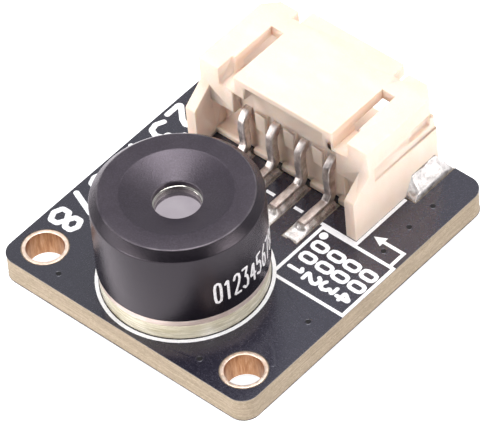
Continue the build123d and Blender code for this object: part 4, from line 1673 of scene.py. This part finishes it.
# %% [markdown]
# ## Window, ring and retainer
# Inside the aperture are a thin polished ring with one fine groove and a flat coated window, held from
# below by a plain ring. All are turned about the can's axis, which keeps them in line with each other and
# with the can.

# %% Aperture ring
seat = (ring_high.x - ring_low.x) / 2
clear = 1.23
ring_middle = (ring_low.z + ring_high.z) / 2
ring_profile = [
    (seat, ring_low.z),
    (seat, ring_high.z),
    (aperture - 0.01, ring_high.z),
    (clear + 0.03, ring_high.z - 0.03),
    (clear + 0.03, ring_middle),
    (clear + 0.05, ring_middle - 0.02),
    (clear + 0.03, ring_middle - 0.04),
    (clear + 0.03, ring_low.z + 0.03),
    (clear + 0.06, ring_low.z),
]
ring_maker = bmesh.new()
turned(ring_maker, ring_profile, can_x, can_y, 128, True)
finish_piece("aperture_ring", ring_maker, "polished", ["lens_ring"], 40.0)

# %% Window and retainer
window_radius = (window_high.x - window_low.x) / 2
pane = [(0.0, window_low.z), (window_radius, window_low.z), (window_radius, window_high.z)]
pane.append((0.0, window_high.z))
pane_maker = bmesh.new()
turned(pane_maker, rounded(pane, 0.05, 3), can_x, can_y, 96)
finish_piece("window", pane_maker, "window", ["lens_window"])
keeper_low, keeper_high = corners("lens_retainer")
keeper_radius = (keeper_high.x - keeper_low.x) / 2
keeper = [(clear + 0.05, keeper_low.z), (keeper_radius, keeper_low.z), (keeper_radius, keeper_high.z)]
keeper += [(clear + 0.05, keeper_high.z), (clear + 0.05, keeper_low.z + 0.02)]
keeper_maker = bmesh.new()
turned(keeper_maker, rounded(keeper, 0.04, 2)[:-1], can_x, can_y, 96, True)
finish_piece("window_retainer", keeper_maker, "black", ["lens_retainer"])

# %% [markdown]
# ## Header, spacer and chips
# The header keeps its node's shape, flange, tab and bead holes, and gets a small live bevel. The spacer is
# a plate with four holes. Its rims are well rounded, so that a dark line shows under the header. The two
# chips are thin slabs.

# %% Header
header = finish_piece("header", copy_of("sensor_header"), "steel", ["sensor_header"])
round_edges(header, 0.05, 2)

# %% Spacer
spacer_low, spacer_high = corners("insulating_spacer")
spacer_diameter = spacer_high.x - spacer_low.x
spacer_outlines = [circle(spacer_diameter, can_x, can_y, 160)]
spacer_outlines += [circle(lead_hole, x, y, 24) for x, y in lead_places]
spacer_maker = flat_plate(spacer_outlines, spacer_low.z, spacer_high.z, 0.09)
finish_piece("spacer", spacer_maker, "spacer", ["insulating_spacer"], 50.0)

# %% Chips inside the can
for chip, parts in (("detector_chip", "detector_die"), ("memory_chip", "memory_die")):
    slab = finish_piece(chip, copy_of(parts), "silicon", [parts])
    round_edges(slab, 0.02, 2)

# %% [markdown]
# ## Leads, beads and barrels
# Four round leads pass through glass beads in the header, through the spacer and the board, and end in
# hollow cones of solder underneath. Each kind is the same shape four times, so a tree puts one turned shape
# on the four lead places.

# %% One shape on four places
lead_low, lead_high = corners("sensor_lead_1")
bead_low, bead_high = corners("glass_seal_1")
cone_low, cone_high = corners("lead_solder_1")
lead_radius = (lead_high.x - lead_low.x) / 2


def repeated_on_leads(name, profile, finish, closed=False, steps=32):
    """A turned shape, repeated on the four lead places by a tree."""
    one = bmesh.new()
    turned(one, profile, 0.0, 0.0, steps, closed)
    shape = bpy.data.meshes.new(name + "_one")
    one.to_mesh(shape)
    one.free()
    source = bpy.data.objects.new(name + "_one", shape)
    tree, start, end = new_tree(name + "_on_leads", {"Scale": 1.0})
    picked = node(tree, "GeometryNodeObjectInfo", {"transform_space": "ORIGINAL"})
    picked.inputs["Object"].default_value = source
    scale = node(tree, "ShaderNodeCombineXYZ", X=1.0, Y=1.0, Z=start.outputs["Scale"])
    copies = node(
        tree,
        "GeometryNodeInstanceOnPoints",
        Points=start.outputs["Geometry"],
        Instance=picked.outputs["Geometry"],
        Scale=scale.outputs["Vector"],
    )
    close_tree(tree, copies.outputs["Instances"], end, finish)
    grown = grow(tree, lines_mesh([[(x, y, 0.0)] for x, y in lead_places]), {"Scale": 1.0})
    bpy.data.objects.remove(source)
    return grown


print("lead radius", round(lead_radius, 3))

# %% Leads
wire_profile = [
    (0.0, lead_low.z),
    (lead_radius - 0.05, lead_low.z),
    (lead_radius, lead_low.z + 0.05),
    (lead_radius, lead_high.z - 0.12),
    (lead_radius, lead_high.z - 0.03),
    (lead_radius - 0.03, lead_high.z),
    (0.0, lead_high.z),
]
leads = repeated_on_leads("lead", wire_profile, "lead")
finish_piece("leads", leads, "lead", [f"sensor_lead_{n}" for n in numbers], 50.0)

# %% Glass beads
bead_outer = (bead_high.x - bead_low.x) / 2
bead_profile = [
    (lead_radius, bead_low.z + 0.02),
    (lead_radius + 0.1, bead_low.z),
    (bead_outer - 0.08, bead_low.z + 0.03),
    (bead_outer, bead_low.z + 0.08),
    (bead_outer, bead_high.z - 0.08),
    (bead_outer - 0.08, bead_high.z - 0.03),
    (lead_radius + 0.1, bead_high.z),
    (lead_radius, bead_high.z - 0.02),
]
beads_grown = repeated_on_leads("bead", bead_profile, "glass", True)
finish_piece("glass_beads", beads_grown, "glass", [f"glass_seal_{n}" for n in numbers], 60.0)

# %% Barrels
barrel_bore = lead_hole / 2
barrel_outer = barrel_bore + barrel_wall
barrel_ring = lead_ring / 2
barrel_corners = [
    (barrel_outer, board_bottom + 0.05),
    (barrel_ring, board_bottom + 0.05),
    (barrel_ring, board_bottom),
    (barrel_bore, board_bottom),
    (barrel_bore, board_top),
    (barrel_ring, board_top),
    (barrel_ring, board_top - 0.05),
    (barrel_outer, board_top - 0.05),
]
barrels = repeated_on_leads("barrel", rounded(barrel_corners, 0.02, 2), "solder", True)
finish_piece("lead_barrels", barrels, "solder", [f"lead_barrel_{n}" for n in numbers])

# %% [markdown]
# ### Joints under the leads
# A good joint under a through-hole lead is a hollow cone: wide and thin on the ring, steep at the wire. A
# straight cone looks like a toy, so its profile follows an exponential, and a little noise keeps it from
# looking machined.

# %% Hollow solder cones
cone_profile = [(lead_radius - 0.01, board_bottom + 0.02)]
cone_rise = cone_high.z - cone_low.z
cone_bend = 3.1
cone_steps = 12
for i in range(cone_steps + 1):
    share = i / cone_steps
    radius = lead_radius + (barrel_ring - lead_radius) * (1 - share)
    flat_end = math.exp(-cone_bend)
    drop = cone_rise * (math.exp(-cone_bend * (1 - share)) - flat_end) / (1 - flat_end)
    cone_profile.append((radius, board_bottom - 0.02 - drop * 0.97))
cone_profile.append((lead_radius - 0.01, cone_profile[-1][1]))
cones = repeated_on_leads("cone", cone_profile, "solder", True, 40)
for point in cones.verts:
    lift = noise.noise(point.co * 3.0) * 0.025
    point.co.z += lift * min(1.0, max(0.0, (board_bottom - 0.03 - point.co.z) / 0.1))
finish_piece("lead_joints", cones, "solder", [f"lead_solder_{n}" for n in numbers], 60.0)

# %% [markdown]
# ## Chip parts on the underside
# The regulator body has the drafted sides of a moulded chip. Its five legs are flat strips grown by the
# wire tree with a wide, thin section, bent down to the pads. Capacitors and resistors are blocks with soft
# corners, capped with solder. Nothing here is seen from above, so their shapes stay simple.

# %% Regulator body
body_low, body_high = corners("regulator_body")
leg_low, leg_high = corners("regulator_leads")


def drafted_block(low, high, draft):
    """A block whose four sides lean in above and below a waist line."""
    maker = bmesh.new()
    waist = (low.z + high.z) / 2
    rings = []
    for height, inset in ((low.z, draft), (waist, 0.0), (high.z, draft * 0.6)):
        x0, x1, y0, y1 = low.x + inset, high.x - inset, low.y + inset, high.y - inset
        ring = [maker.verts.new(p) for p in ((x0, y0, height), (x1, y0, height), (x1, y1, height))]
        ring.append(maker.verts.new((x0, y1, height)))
        rings.append(ring)
    for lower, upper in zip(rings, rings[1:]):
        for i in range(4):
            after = (i + 1) % 4
            maker.faces.new((lower[i], lower[after], upper[after], upper[i]))
    maker.faces.new(rings[0])
    maker.faces.new(list(reversed(rings[-1])))
    bmesh.ops.recalc_face_normals(maker, faces=maker.faces)
    return maker


regulator = finish_piece(
    "regulator", drafted_block(body_low, body_high, 0.08), "resin", ["regulator_body"]
)
round_edges(regulator, 0.04, 2)

# %% Regulator legs
leg_tree = wire_tree("flat_leg", "tin", dict(wire_sizes, Count=1))
leg_thickness = 0.15
leg_width = 0.4
leg_pitch = 0.95
leg_top = -0.5
row_y = (body_low.y + body_high.y) / 2
legs_all = bmesh.new()
for side, count in ((-1, 3), (1, 2)):
    inner = row_y + side * ((body_high.y - body_low.y) / 2 - 0.02)
    outer = leg_low.y if side < 0 else leg_high.y
    middle_leg = (inner + outer) / 2
    foot = leg_high.z - leg_thickness / 2
    first = -leg_pitch
    leg_line = [
        (first, inner, leg_top),
        (first, middle_leg, leg_top),
        (first, middle_leg + side * 0.06, foot),
        (first, outer, foot),
    ]
    sizes = {"Width": leg_thickness, "Thickness": leg_width, "Corner": 0.03, "Bend radius": 0.09}
    sizes.update({"Pitch": leg_pitch * (1 if count == 3 else 2), "Count": count, "Bend steps": 4})
    legs = grow(leg_tree, lines_mesh([leg_line]), sizes)
    grown_legs = bpy.data.meshes.new("legs")
    legs.to_mesh(grown_legs)
    legs.free()
    legs_all.from_mesh(grown_legs)
finish_piece("regulator_legs", legs_all, "tin", ["regulator_leads"], 50.0)

# %% Capacitors and resistors
for number in (1, 2):
    for part, finish, slot in (("capacitor", "ceramic", "chip_ceramic"), ("resistor", "glaze", "chip_resin")):
        block = finish_piece(
            f"{part}_{number}", copy_of(f"{part}_{number}_body"), finish, [f"{part}_{number}_body"]
        )
        round_edges(block, 0.03, 2)
        ends = finish_piece(
            f"{part}_{number}_caps",
            copy_of(f"{part}_{number}_ends"),
            "solder",
            [f"{part}_{number}_ends"],
        )
        round_edges(ends, 0.06, 3)
        if part == "resistor":
            low_z = corners(f"resistor_{number}_body")[0].z
            mark_points(block, "coated", lambda point: 1.0 if point.z < low_z + 0.03 else 0.0)

# %% [markdown]
# ## The last look
# The visual model should be as large as the imported one. The nodes that no piece has replaced are printed.

# %% Nodes still shown
left_over = [n for n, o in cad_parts.items() if not o.hide_render]
print("nodes still shown:", left_over)
